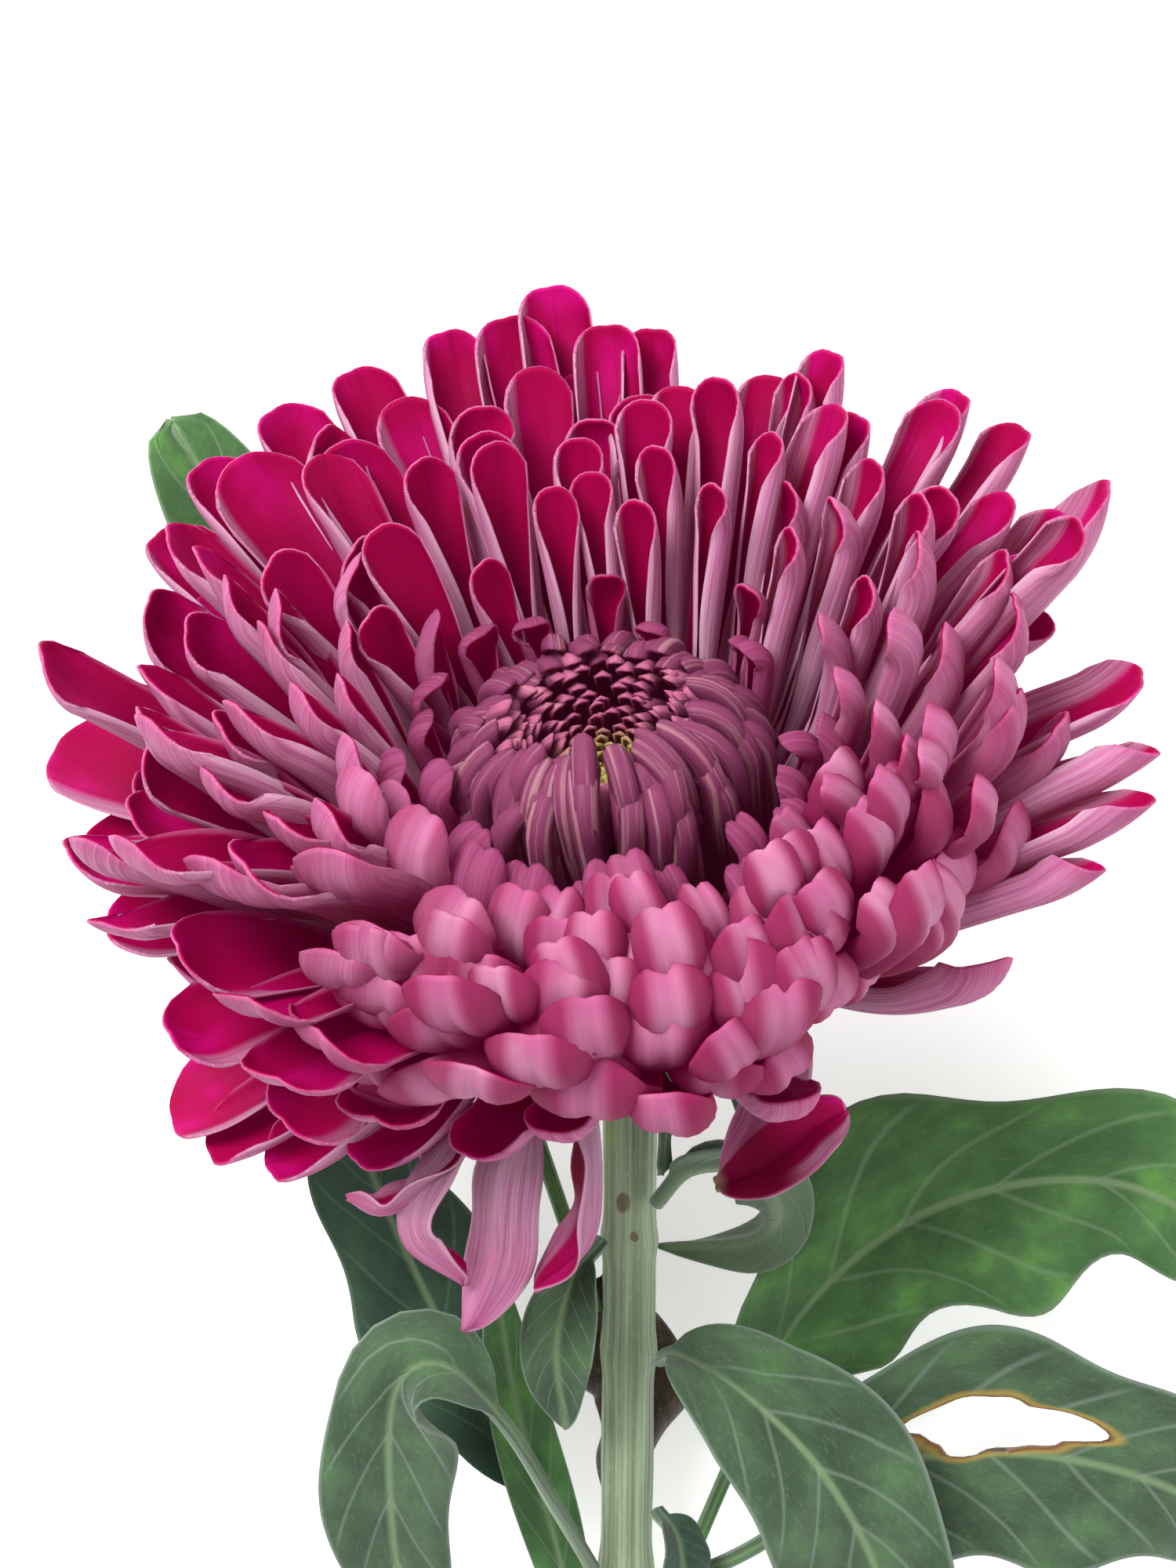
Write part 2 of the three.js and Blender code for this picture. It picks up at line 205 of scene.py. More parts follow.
def petal_grid(p, along, across):
    """Grids of petals in the bloom frame from a dictionary of columns.

    Centre = foot + Bezier(s) up to the shoulder, then an arc of the hood's length and angle.
    Section: x = w/2 * integral of cos(cup * t^roll) and y = w/2 * integral of sin(cup * t^roll),
    with t from 0 to |u|.
    """
    u = np.linspace(-1, 1, across)[None, None]
    v = 1 - (1 - np.linspace(0, 1, along)) ** 1.35
    shorter = p["rounding"] * (1 - np.sqrt(np.maximum(1 - np.abs(u) ** 1.8, 0)))
    ends = 1 - shorter - p["notch"] * np.exp(-((u / 0.2) ** 2))
    s = v[None, :, None] * ends
    cos_foot, sin_foot = turn(p["foot_rise"])
    cos_top, sin_top = turn(p["top_rise"])
    r0, h0, r1, h1 = p["foot_r"], p["foot_h"], p["top_r"], p["top_h"]
    reach = np.hypot(r1 - r0, h1 - h0)
    handle = 0.38 * reach
    r = [r0, r0 + handle * cos_foot, r1 - handle * cos_top, r1]
    h = [h0, h0 + handle * sin_foot, h1 - handle * sin_top, h1]
    q = np.clip(s / HOOD_START, 0, 1)
    weights = [(1 - q) ** 3, 3 * q * (1 - q) ** 2, 3 * q**2 * (1 - q), q**3]
    slopes = [(1 - q) ** 2, 2 * q * (1 - q), q**2]
    radius = sum(w * c for w, c in zip(weights, r))
    height = sum(w * c for w, c in zip(weights, h))
    d_radius = sum(w * (b - a) for w, a, b in zip(slopes, r, r[1:]))
    d_height = sum(w * (b - a) for w, a, b in zip(slopes, h, h[1:]))
    over = np.clip((s - HOOD_START) / (1 - HOOD_START), 0, 1)
    rise = np.where(over > 0, np.radians(p["top_rise"] + p["hood"] * over), np.arctan2(d_height, d_radius))
    bow = p["hood_length"] / np.radians(p["hood"])
    radius = radius + np.where(over > 0, bow * (np.sin(rise) - sin_top), 0)
    height = height - np.where(over > 0, bow * (np.cos(rise) - cos_top), 0)
    sway = p["bend"] * s**2 + p["yaw"] * s
    d_sway = (2 * p["bend"] * s + p["yaw"]) / (reach + p["hood_length"])
    cos_az, sin_az = turn(p["azimuth"])
    flat = np.zeros_like(s)
    out = np.stack([cos_az + flat, sin_az + flat, flat], -1)
    sideways = np.stack([-sin_az + flat, cos_az + flat, flat], -1)
    up = np.array([0.0, 0, 1])
    centre = out * radius[..., None] + up * height[..., None] + sideways * sway[..., None]
    cos_rise, sin_rise = np.cos(rise)[..., None], np.sin(rise)[..., None]
    tangent = unit(out * cos_rise + up * sin_rise + sideways * d_sway[..., None])
    face = up * cos_rise - out * sin_rise
    side = unit(np.cross(face, tangent))
    face = np.cross(tangent, side)
    cos_twist, sin_twist = (part[..., None] for part in turn(p["twist"] + p["screw"] * s))
    side, face = side * cos_twist + face * sin_twist, face * cos_twist - side * sin_twist
    width = p["neck"] + (p["width"] - p["neck"]) * smooth(0.06, 0.7, s) * (1 - 0.1 * smooth(0.86, 1, s))
    opened = smooth(p["opens"] - 0.36, p["opens"] + 0.3, s)
    cup = np.radians(blend(p["cup_foot"], p["cup_tip"], opened))
    steps = (np.arange(ROLL_STEPS) + 0.5) / ROLL_STEPS
    t = np.abs(u)[..., None] * steps
    angle = cup[..., None] * t ** blend(1, p["roll"], opened**2)[..., None]
    x = np.sign(u) * np.abs(u) * np.cos(angle).mean(-1) * width / 2
    y = np.abs(u) * np.sin(angle).mean(-1) * width / 2
    furrow = p["furrow"] * np.exp(-((u / 0.17) ** 2)) * smooth(0.5, 0.92, s)
    ribs = 0.02 * np.cos(4.5 * np.pi * u) * smooth(0.15, 0.5, s)
    waves = np.sin(2 * np.pi * (2.2 * s + 0.31 * p["azimuth"] + 0.2 * np.sign(u)))
    frill = p["frill"] * np.abs(u) ** 3 * waves
    grid = centre + side * x[..., None] + face * (y + furrow + ribs + frill)[..., None]
    return grid, s, u + flat


def both_faces(a, axis):
    """Values of a sheet, written once for each face of its shell, in the order of the shell's rings."""
    return np.concatenate([a, np.flip(a, axis)], axis)


def petal_shells(p, along=22, across=13, thickness=0.42):
    """Closed shells of petals with the marks that the petal finish reads."""
    p = columns(p)
    grid, s, u = petal_grid(p, along, across)
    half = thickness / 2 * (0.4 + 0.6 * np.sqrt(np.maximum(1 - u**4, 0)))
    points = from_bloom(shell(grid, half))
    inner = np.concatenate([np.ones_like(s), np.zeros_like(s)], axis=2)
    place = np.stack([both_faces(u, 2), both_faces(s, 2), inner], -1)
    kind = np.stack(np.broadcast_arrays(p["age"], p["chance"], p["near"], inner)[:3], -1)
    return points, shell_faces(len(grid), along, 2 * across), place, kind


def pour(points, faces, place, kind):
    """Flattens stacked shells into the arrays of one mesh."""
    return points.reshape(-1, 3), faces, {"place": place.reshape(-1, 3), "kind": kind.reshape(-1, 3)}


def single(shells, i):
    """One petal out of stacked shells, as the arrays of a mesh of its own."""
    points, _, place, kind = shells
    along, around = points.shape[1:3]
    return pour(points[i], shell_faces(1, along, around), place[i], kind[i])


print("a petal's section turns in", ROLL_STEPS, "steps; its hood starts at", HOOD_START, "of its length")

# %% [markdown]
# A finish is a small graph of shader nodes. Written node by node it hides its own idea, so a socket is
# wrapped in a class that understands + - * and the like, and a mask can be written as an expression.

# %% Shader expressions
def srgb(code, level=0.56):
    """A colour as it should look on screen, as linear light, darkened because the studio is bright."""
    parts = [int(code[i : i + 2], 16) / 255 for i in (1, 3, 5)]
    linear = [c / 12.92 if c <= 0.04045 else ((c + 0.055) / 1.055) ** 2.4 for c in parts]
    return (*(level * c for c in linear), 1.0)


class Value:
    """A number that varies over a surface. Each operator adds one Math node."""

    def __init__(self, finish, socket):
        self.finish, self.socket = finish, socket

    def math(self, operation, *others):
        """One Math node with this value as its first input."""
        inputs = dict(enumerate((self, *others)))
        return self.finish.node("ShaderNodeMath", {"operation": operation}, inputs)

    def __add__(self, other):
        return self.math("ADD", other)

    def __mul__(self, other):
        return self.math("MULTIPLY", other)

    def __sub__(self, other):
        return self.math("SUBTRACT", other)

    def __rsub__(self, other):
        return self.math("MULTIPLY_ADD", -1, other)

    def __abs__(self):
        return self.math("ABSOLUTE")

    __radd__, __rmul__ = __add__, __mul__

    def step(self, low, high):
        """A soft step from 0 at low to 1 at high."""
        settings = {"interpolation_type": "SMOOTHSTEP"}
        return self.finish.node("ShaderNodeMapRange", settings, {0: self, 1: low, 2: high})

    def peak(self, middle, reach):
        """1 where the value is at the middle, falling to 0 at the given distance from it."""
        return 1 - abs(self - middle).step(0, reach)


class Finish:
    """A material whose Principled shader is fed by expressions. Socket names are written with underscores."""

    def __init__(self, name, **constants):
        self.material = bpy.data.materials.new(name)
        self.material.use_nodes = True
        self.tree = self.material.node_tree
        self.shader = self.tree.nodes["Principled BSDF"]
        self.set(**constants)

    def node(self, kind, settings=None, inputs=None, output=0):
        """Adds a node, its settings first, then its sockets' values or links, and returns one output."""
        made = self.tree.nodes.new(kind)
        for key, value in (settings or {}).items():
            setattr(made, key, value)
        for key, value in (inputs or {}).items():
            self.feed(made.inputs[key], value)
        return Value(self, made.outputs[output])

    def feed(self, plug, value):
        """Links an expression to a socket, or sets the socket's own value."""
        if isinstance(value, Value):
            self.tree.links.new(value.socket, plug)
        else:
            plug.default_value = value

    def set(self, **inputs):
        """Feeds sockets of the shader."""
        for key, value in inputs.items():
            self.feed(self.shader.inputs[key.replace("_", " ")], value)

    def mark(self, name):
        """The three numbers of a named vector on the mesh."""
        whole = self.node("ShaderNodeAttribute", {"attribute_name": name}, output=1)
        return [self.node("ShaderNodeSeparateXYZ", None, {0: whole}, output=n) for n in range(3)]

    def position(self):
        """A point's place in metres."""
        return self.node("ShaderNodeTexCoord", output=3)

    def vector(self, x, y, z):
        """A vector from three numbers or values."""
        return self.node("ShaderNodeCombineXYZ", None, {0: x, 1: y, 2: z})

    def noise(self, vector, scale, detail=3.0, roughness=0.5):
        """Smooth noise from 0 to 1 over a vector."""
        inputs = {"Vector": vector, "Scale": scale, "Detail": detail, "Roughness": roughness}
        return self.node("ShaderNodeTexNoise", None, inputs)

    def mix(self, share, low, high):
        """A colour between two colours, by a share from 0 to 1."""
        settings = {"data_type": "RGBA"}
        return self.node("ShaderNodeMix", settings, {0: share, 6: low, 7: high}, output=2)

    def bump(self, height, distance, strength=1.0):
        """Relief of the given depth in metres."""
        inputs = {"Strength": strength, "Distance": distance, "Height": height}
        self.set(Normal=self.node("ShaderNodeBump", None, inputs))


print("a dark crimson as linear light:", np.round(srgb("#78002e"), 3))

# %% [markdown]
# The two faces of a petal are not the same colour. The inner face is a deep crimson that brightens towards
# the tip. On old petals a magenta cloud near the tip is painted light, the light that shines through them.
# A pale band runs along one margin, where the sheet curls and its back shows through. The back is pale rose
# with fine veins that run its whole length, plum on the youngest petals. On the hooded petals of the near
# side it carries soft patches of painted highlight. It turns crimson towards its margins, partly its own
# colour and partly painted shade between the hoods, and dark crimson at its lower part, which is painted
# shade. Both faces fade to a dull buff at the very foot. Each of these could be a material of its own, but
# then they would meet at hard edges, so one finish paints them all from the marks on the mesh. A faint
# glow of its own colour stands in for the light that passes from petal to petal, which a short render does
# not follow far enough.

# %% The petal finish
def petal_finish():
    """Crimson inside and rose outside, with veins, margins, the dark foot, painted light and painted shade,
    from the marks on the mesh.
    """
    f = Finish(
        "petal_skin", Subsurface_Weight=0.06, Subsurface_Scale=0.0015, Subsurface_Radius=(1.0, 0.1, 0.5),
        Specular_IOR_Level=0.06, Emission_Strength=1.0)
    across, along, inner = f.mark("place")
    age, chance, near = f.mark("kind")
    vein = f.noise(f.vector(across * 8 + chance * 40, along * 1.1, chance * 17), 1.6, 4.0, 0.65)
    fine = f.noise(f.vector(across * 22 + chance * 40, along * 1.5, chance * 9), 1.5, 3.0, 0.6)
    cloud = f.noise(f.vector(across * 0.8 + chance * 30, along * 3, age * 5), 1.1, 2.0)
    crimson = f.mix(along.step(0.35, 1.0), srgb("#78002e"), srgb("#b0004a"))
    # Painted light: magenta clouds near the tips of old petals, where light shines through them.
    painted_tip_light = cloud.step(0.42, 0.75) * along.step(0.55, 1.0) * age.step(0.2, 0.8)
    crimson = f.mix(painted_tip_light, crimson, srgb("#e20c8c"))
    crimson = f.mix(vein.step(0.5, 0.72) * 0.35, crimson, srgb("#86003a"))
    crimson = f.mix(abs(across).step(0.92, 1.0) * 0.5, crimson, srgb("#d478a8"))
    band = (across - chance * 0.35).step(0.34, 0.56) * along.step(0.4, 0.7) * (1 - near)
    crimson = f.mix(band * 0.8, crimson, f.mix(fine.step(0.4, 0.65), srgb("#b8709c"), srgb("#dcaecb")))
    back = f.mix(along.step(0.2, 0.85), srgb("#cfa6be"), srgb("#d886b2"))
    back = f.mix(near * 0.8, back, srgb("#c27199"))
    back = f.mix(vein.step(0.36, 0.66) * (0.6 - near * 0.42), back, srgb("#aa4a86"))
    back = f.mix(fine.step(0.45, 0.68) * (0.4 - near * 0.32), back, srgb("#f0cce0"))
    back = f.mix(along.step(0.88, 1.0) * 0.5, back, srgb("#c44886"))
    back = f.mix(abs(across).step(0.8, 1.0) * (1 - near) * 0.5, back, srgb("#f2cce0"))
    # Painted highlight: soft pale patches on the backs of the near hoods.
    back = f.mix(cloud.step(0.45, 0.75) * near * 0.6, back, srgb("#e2aac8"))
    # Crimson towards the margins of the near hoods: partly their own colour, partly painted shade between
    # them.
    back = f.mix(abs(across).step(0.12, 0.46) * near * 0.85, back, srgb("#8c1048"))
    # Painted shade: the lower part of each near hood turns dark crimson where the hoods crowd together.
    back = f.mix((1 - along.step(0.62, 0.86)) * near * 0.8, back, srgb("#821348"))
    plum = f.mix(vein.step(0.2, 0.9), srgb("#8a345f"), srgb("#b0608a"))
    back = f.mix(1 - age.step(0.06, 0.13), back, plum)
    colour = f.mix(inner.step(0.3, 0.7), back, crimson)
    colour = f.mix(1 - along.step(0.0, 0.12), colour, srgb("#9a8a6c"))
    glow = f.mix(along.step(0.3, 1.0), srgb("#8a0042", 0.08), srgb("#c00060", 0.1))
    f.set(Base_Color=colour, Roughness=0.5 + vein * 0.2, Emission_Color=glow)
    f.bump((vein * 0.6 + fine * 0.4) * (1 - near * 0.85), 0.0003, 0.6)
    return f.material


petal_skin = petal_finish()
print("petal finish:", len(petal_skin.node_tree.nodes), "nodes")

# %% [markdown]
# Petals grow in a spiral, each about 137.5 degrees on from the one before, the golden angle. Seven whorls
# are laid out along that spiral. Each whorl says where its petals leave the receptacle and which shoulder
# they reach, once for the far side, where the bowl is open, and once for the near side, where the petals
# curl up steeply. A petal between two whorls mixes both. The petals also shift a little towards the near
# side, where they stand closer together. Seeded random numbers keep every run the same.

# %% Whorls along the spiral
GOLDEN_ANGLE = 137.508
WHORLS = [
    # name, petals, foot (radius, height, rise), far shoulder, near shoulder, width, half cup at the tip
    ("inner_whorl_1", 20, (15, -0.5, 62), (21.5, 14, 84), (22.5, 10.5, 84), 7.4, 160),
    ("inner_whorl_2", 30, (14, -3, 42), (27, 20, 74), (29, 12, 74), 8.8, 150),
    ("middle_whorl_1", 37, (13.5, -6, 32), (35, 22.5, 66), (33.5, 13, 68), 10.2, 140),
    ("middle_whorl_2", 42, (13, -9, 22), (42.5, 24, 58), (37, 10.5, 62), 11.4, 132),
    ("outer_whorl_1", 42, (13, -11.5, 10), (49.5, 21, 44), (38.5, 6.5, 58), 12.4, 122),
    ("outer_whorl_2", 38, (13, -14, -2), (51, 6, 20), (37.5, 1.5, 48), 12.8, 110),
    ("drooping_petal", 26, (13, -16, -20), (46, -9, 4), (32, -4.5, 26), 12.4, 98),
]
HOODS = {"far": 34, "side": 62, "near": 98}
NEAR_TURN = 22  # degrees by which the near side's middle is turned to the right
CROWDING = 14  # degrees by which petals shift from the far side to the near side
rng = np.random.default_rng(41)


def nearness(azimuth):
    """How far a direction belongs to the near side, 0 to 1: a soft step of minus the sine of its angle."""
    return smooth(-0.1, 0.85, -np.sin(np.radians(azimuth - NEAR_TURN)))


def whorl_petals(first, whorl_index):
    """Petal values for one whorl, mixed with its neighbours along the spiral."""
    count = WHORLS[whorl_index][1]
    azimuth = (first + np.arange(count)) * GOLDEN_ANGLE % 360
    azimuth = azimuth - CROWDING * np.cos(np.radians(azimuth))
    level = whorl_index + (np.arange(count) + 0.5) / count - 0.5
    rows = np.array([[*w[2], *w[3], *w[4], w[5], w[6]] for w in WHORLS], float)
    mixed = np.array([np.interp(level, np.arange(len(WHORLS)), column) for column in rows.T])
    near = nearness(azimuth)
    left = smooth(-0.3, 0.9, -np.cos(np.radians(azimuth)))
    shoulder = blend(mixed[3:6], mixed[6:9], near)
    near_left = left * smooth(0.1, -0.5, np.sin(np.radians(azimuth)))
    shoulder[2] -= 22 * near_left * smooth(1, 2.5, level)
    wobble = rng.normal(size=(10, count))
    sideways = smooth(-1, 0.2, -np.sin(np.radians(azimuth)))
    hood = blend(blend(HOODS["far"], HOODS["side"], sideways), HOODS["near"], near)
    outer = smooth(1.5, 5, level)
    knob = 1 - smooth(0.3, 0.8, level)
    return dict(
        azimuth=azimuth + wobble[0] * 1.5,
        foot_r=mixed[0], foot_h=mixed[1], foot_rise=mixed[2] + wobble[1] * 2,
        top_r=shoulder[0] * (1 + 0.05 * wobble[2]), top_h=shoulder[1] + 1.3 * wobble[3] * (1 + 0.6 * outer),
        top_rise=shoulder[2] + 5 * wobble[4],
        hood=np.maximum(blend(hood, 112, knob) + 12 * wobble[5], 16),
        hood_length=np.clip(7.6 + 1.9 * near - 2.4 * knob + 0.8 * wobble[6], 4.5, 13),
        width=mixed[9] * (1 + 0.06 * wobble[7]) * (1 + 0.07 * near + 0.06 * left), neck=3.4,
        cup_foot=172, cup_tip=mixed[10] + 11 * wobble[8] - 30 * near - 46 * left + 8 * (1 - left),
        opens=0.7 - 0.12 * left * outer - 0.06 * outer - 0.14 * near + 0.05 * wobble[9],
        roll=blend(1.45, 1.25, near) + 0.5 * left, rounding=blend(0.2, 0.13, near),
        notch=0.004 + 0.012 * near,
        bend=1.3 * wobble[0] * (1 + outer), yaw=1.4 * wobble[7],
        screw=(9 * wobble[1] * (1 + outer) + 20 * left - 16 * (1 - left) * (1 - near)) * (1 - knob),
        furrow=blend(0.1, 0.9, near), frill=0.16 + 0.25 * outer,
        age=level / len(WHORLS), chance=rng.random(count), near=near,
    )


print("petals in the whorls:", sum(count for _, count, *_ in WHORLS))

# %% [markdown]
# The petals of a whorl could be separate objects, but 235 of them would be slow to handle, and the CAD
# model has one ring for each whorl. So each upper whorl is one mesh of closed shells. The lowest petals
# hang apart from each other, and each is an object of its own, as in the CAD model.

# %% Grow the petals
petal_count = 0
for index, (name, count, *_) in enumerate(WHORLS):
    values = whorl_petals(petal_count, index)
    petal_count += count
    shells = petal_shells(values)
    if name != "drooping_petal":
        points, faces, marks = pour(*shells)
        add_piece("petals_of_" + name, points, faces, petal_skin, [name], marks)
        continue
    for i in range(count):
        points, faces, marks = single(shells, i)
        node = f"drooping_petal_{i + 1:02d}"
        add_piece(f"lower_petal_{i + 1:02d}", points, faces, petal_skin, [node], marks)
print("open petals:", petal_count, "volume sign", volume(points, faces) > 0)

# %% [markdown]
# In the middle the youngest petals have not opened. They rise from the receptacle, arch over a common rim
# and dive into a mouth, like fingers of a closed hand, and deeper in the mouth they shrink to a spiral of
# scales around the heart. They are the same petal surface again, with a long hood for the button and a
# short one for the scales.

# %% Button and heart petals
def button_petals(count=104):
    """Closed petals: level 0 is the innermost ring of the button, level 1 the outermost."""
    level = np.arange(count) / (count - 1)
    wobble = rng.normal(size=(9, count))
    azimuth = np.arange(count) * GOLDEN_ANGLE % 360
    near = nearness(azimuth)
    return dict(
        azimuth=azimuth + 1.6 * wobble[0],
        foot_r=blend(7, 13.5, level), foot_h=blend(4.5, -0.5, level),
        foot_rise=blend(40, 12, level) + 2 * wobble[1],
        top_r=blend(14.8, 18, level**1.3) + 0.45 * wobble[2],
        top_h=blend(15.4, 12.8, level**1.5) + 0.9 * wobble[3] + blend(0, 3.4, near),
        top_rise=90 + 3 * wobble[4],
        hood=blend(96, 108, level) + 14 * wobble[5] + 20 * near,
        hood_length=blend(5.5, 8.2, level) + 0.8 * wobble[6] + 2.8 * near,
        width=blend(6.4, 7.6, level) + 0.35 * wobble[7], neck=4.4,
        cup_foot=172, cup_tip=164, opens=0.6, roll=1, rounding=0.12,
        bend=0.9 * wobble[1], yaw=1.6 * wobble[2], twist=5 * wobble[3], screw=14 * wobble[4],
        furrow=0.1, frill=0.05, age=level, chance=rng.random(count),
    )


def heart_petals(count=210):
    """Scales in the bowl of the mouth, pointing inwards: height = floor + rise * (radius share)^2.4."""
    share = np.sqrt((np.arange(count) + 0.5) / count)
    wobble = rng.normal(size=(4, count))
    tip_r, tip_h = 13.2 * share - 1.2, 11.6 + 7.4 * share**2.4
    size = blend(0.5, 1.25, share)
    return dict(
        azimuth=np.arange(count) * GOLDEN_ANGLE + 3 * wobble[0],
        foot_r=tip_r + 3.2 * size * share, foot_h=tip_h - 2.8 * size - 0.9, foot_rise=blend(96, 124, share),
        top_r=tip_r, top_h=tip_h + 0.35 * wobble[1], top_rise=blend(100, 138, share) + 6 * wobble[2],
        hood=blend(16, 44, share), hood_length=1.9 * size, width=blend(1.9, 4.4, share), neck=1.6,
        cup_foot=110, cup_tip=128, opens=0.5, roll=1, rounding=0.3,
        bend=0.25 * wobble[3], yaw=0.3 * wobble[0], screw=6 * wobble[1],
        furrow=0.08, frill=0, age=share, chance=rng.random(count),
    )


print("the same surface serves petals, the button, the heart and, later, the involucre")

# %% [markdown]
# A closed petal shows only its back, and that back is older rose gone plum, with pale streaks on its ribs.
# Little light gets between the fingers of the button, so their flanks and feet are painted almost black.
# The scales round the heart are paler, and the innermost ones are still yellow-green, the colour that all
# petals start with.

# %% The finishes of the middle
def closed_petal_finish(name, deep, skin, streak, gap, green=None):
    """Plum skin with pale lengthwise streaks, darker towards the foot where no light reaches."""
    f = Finish(
        name, Subsurface_Weight=0.05, Subsurface_Scale=0.001, Specular_IOR_Level=0.1, Emission_Strength=1.0)
    across, along, inner = f.mark("place")
    age, chance, _ = f.mark("kind")
    vein = f.noise(f.vector(across * 3.2 + chance * 40, along * 0.7, chance * 13), 1.5, 4.0, 0.6)
    cloud = f.noise(f.vector(across + chance * 11, along * 4, chance * 7), 1.2, 2.0)
    colour = f.mix(along.step(0.45, 0.9), deep, skin)
    colour = f.mix(vein.step(0.5, 0.66) * 0.55, colour, streak)
    colour = f.mix(cloud.step(0.5, 0.75) * 0.25, colour, srgb("#a83e70"))
    colour = f.mix(abs(across).step(0.2, 0.62) * 0.75, colour, srgb("#521a36"))
    colour = f.mix(inner.step(0.4, 0.6) * 0.7, colour, srgb("#6d0a35"))
    colour = f.mix(1 - along.step(0.2, 0.72), colour, gap)
    if green:
        colour = f.mix(1 - age.step(0.25, 0.62), colour, green)
    # The faint plum glow is painted light, standing in for light that bounces between the closed petals.
    f.set(Base_Color=colour, Roughness=0.5 + vein * 0.15, Emission_Color=srgb("#5a1030", 0.18))
    f.bump(vein, 0.0002, 0.5)
    return f.material


button_skin = closed_petal_finish(
    "button_skin", srgb("#461a32"), srgb("#863c62"), srgb("#d2a0a4"), srgb("#340c20"))
heart_skin = closed_petal_finish(
    "heart_skin", srgb("#8a3a60"), srgb("#c4688f"), srgb("#d89aa2"), srgb("#6a2440"), srgb("#b4b458"))

points, faces, marks = pour(*petal_shells(button_petals(), along=20, across=11, thickness=0.5))
button = add_piece("button_petals", points, faces, button_skin, ["button"], marks)
points, faces, marks = pour(*petal_shells(heart_petals(), along=8, across=5, thickness=0.4))
heart = add_piece("heart_petals", points, faces, heart_skin, ["heart"], marks)
print("button", len(button.data.polygons), "heart", len(heart.data.polygons), "faces")

# %% [markdown]
# A leaf is a sheet on a bent spine. Its half width follows a sine that is swollen towards the foot, with
# rounded lobes that lean forward. The blade is folded up along the midrib, its margins curl back a little,
# and both halves ripple. The midrib is a ridge on the back and a groove on the front, so the shell is
# thicker there. One leaf is torn: a Boolean modifier could cut it, but it would leave long thin faces, so
# whole cells of the grid are taken out, the points round them are pulled onto a wavy outline, and walls
# join the two faces of the shell there.

# %% Spines and leaf surfaces
SIDE_VEINS, VEIN_SLANT = 7, 1.6  # side veins along a blade, and how many steps forward they lean
WIDE_LEAF = 10  # a blade wider than this, in millimetres, is quilted between its veins
LEAF_ROWS, LEAF_COLUMNS = 64, 31


def spline(points, v):
    """A Catmull-Rom curve through points, at shares v of its length in steps, with its unit tangent."""
    points = np.asarray(points, float)
    padded = np.concatenate([2 * points[:1] - points[1:2], points, 2 * points[-1:] - points[-2:-1]])
    lengths = np.concatenate([[0], np.cumsum(np.linalg.norm(np.diff(points, axis=0), axis=1))])
    place = np.interp(v, lengths / lengths[-1], np.arange(len(points)))
    first = np.clip(place.astype(int), 0, len(points) - 2)
    t = (place - first)[..., None]
    a, b, c, d = (padded[first + n] for n in range(4))
    linear, square, cube = c - a, 2 * a - 5 * b + 4 * c - d, 3 * b - a - 3 * c + d
    curve = 0.5 * (2 * b + linear * t + square * t**2 + cube * t**3)
    slope = 0.5 * (linear + 2 * square * t + 3 * cube * t**2)
    return curve, unit(slope), lengths[-1]


def leaf_sheet(leaf, u, v):
    """The middle surface of a leaf at shares u across, from -1 to 1, and v along, from 0 to 1.

    Half width = w/2 * sin(pi * b^belly)^blunt * lobes, b being the share of the blade beyond the stalk.
    Height over the spine = |x| * sin(fold) - curl * |u|^3.2 + ripples - the groove over the midrib.
    """
    centre, along, length = spline(leaf["spine"], v)
    foot, tip = (unit(np.array(face, float)) for face in leaf["faces"])
    hint = blend(foot, tip, v[..., None])
    side = unit(np.cross(along, hint))
    face = np.cross(side, along)
    stalk = leaf["stalk"]
    b = np.clip((v - stalk) / (1 - stalk), 0, 1)
    lean = np.where(u > 0, 0.0, 0.37)
    middle = smooth(0, 0.2, b) * (1 - smooth(0.8, 1, b))
    lobes = 1 + leaf["lobe"] * np.sin(2 * np.pi * (leaf["lobes"] * b + lean)) * middle
    swell = np.maximum(np.sin(np.pi * b**leaf["belly"]), 0) ** leaf["blunt"] * lobes
    half = np.maximum(leaf["width"] / 2 * swell, 0.95 * (1 - 0.75 * smooth(0.9, 1, v)))
    x = u * half
    fold = np.radians(blend(leaf["fold"] + 26, leaf["fold"], smooth(0, 0.35, b)))
    y = np.abs(x) * np.sin(fold) - leaf["curl"] * half * np.abs(u) ** 3.2
    waves = np.sin(2 * np.pi * (2.6 * v + np.where(u > 0, 0.1, 0.55) + leaf["age"]))
    y = y + leaf["ripple"] * np.abs(u) ** 2 * waves * smooth(0, 0.3, b) - 0.45 * np.exp(-((x / 0.9) ** 2))
    quilt = np.cos(2 * np.pi * (SIDE_VEINS * b - VEIN_SLANT * np.abs(u)))
    quilt = quilt * smooth(0.05, 0.3, np.abs(u)) * (1 - u**2)
    y = y + 0.16 * quilt * smooth(0.1, 0.3, b) * (leaf["width"] > WIDE_LEAF)
    forward = 0.22 * np.abs(x) * leaf["skew"]
    folded = x * np.cos(fold * 0.8)
    grid = centre + side * folded[..., None] + face * y[..., None] + along * forward[..., None]
    return grid, b, x, length


def corners_of(cells):
    """The grid points that are a corner of a marked cell."""
    padded = np.pad(cells, 1)
    return padded[:-1, :-1] | padded[1:, :-1] | padded[:-1, 1:] | padded[1:, 1:]


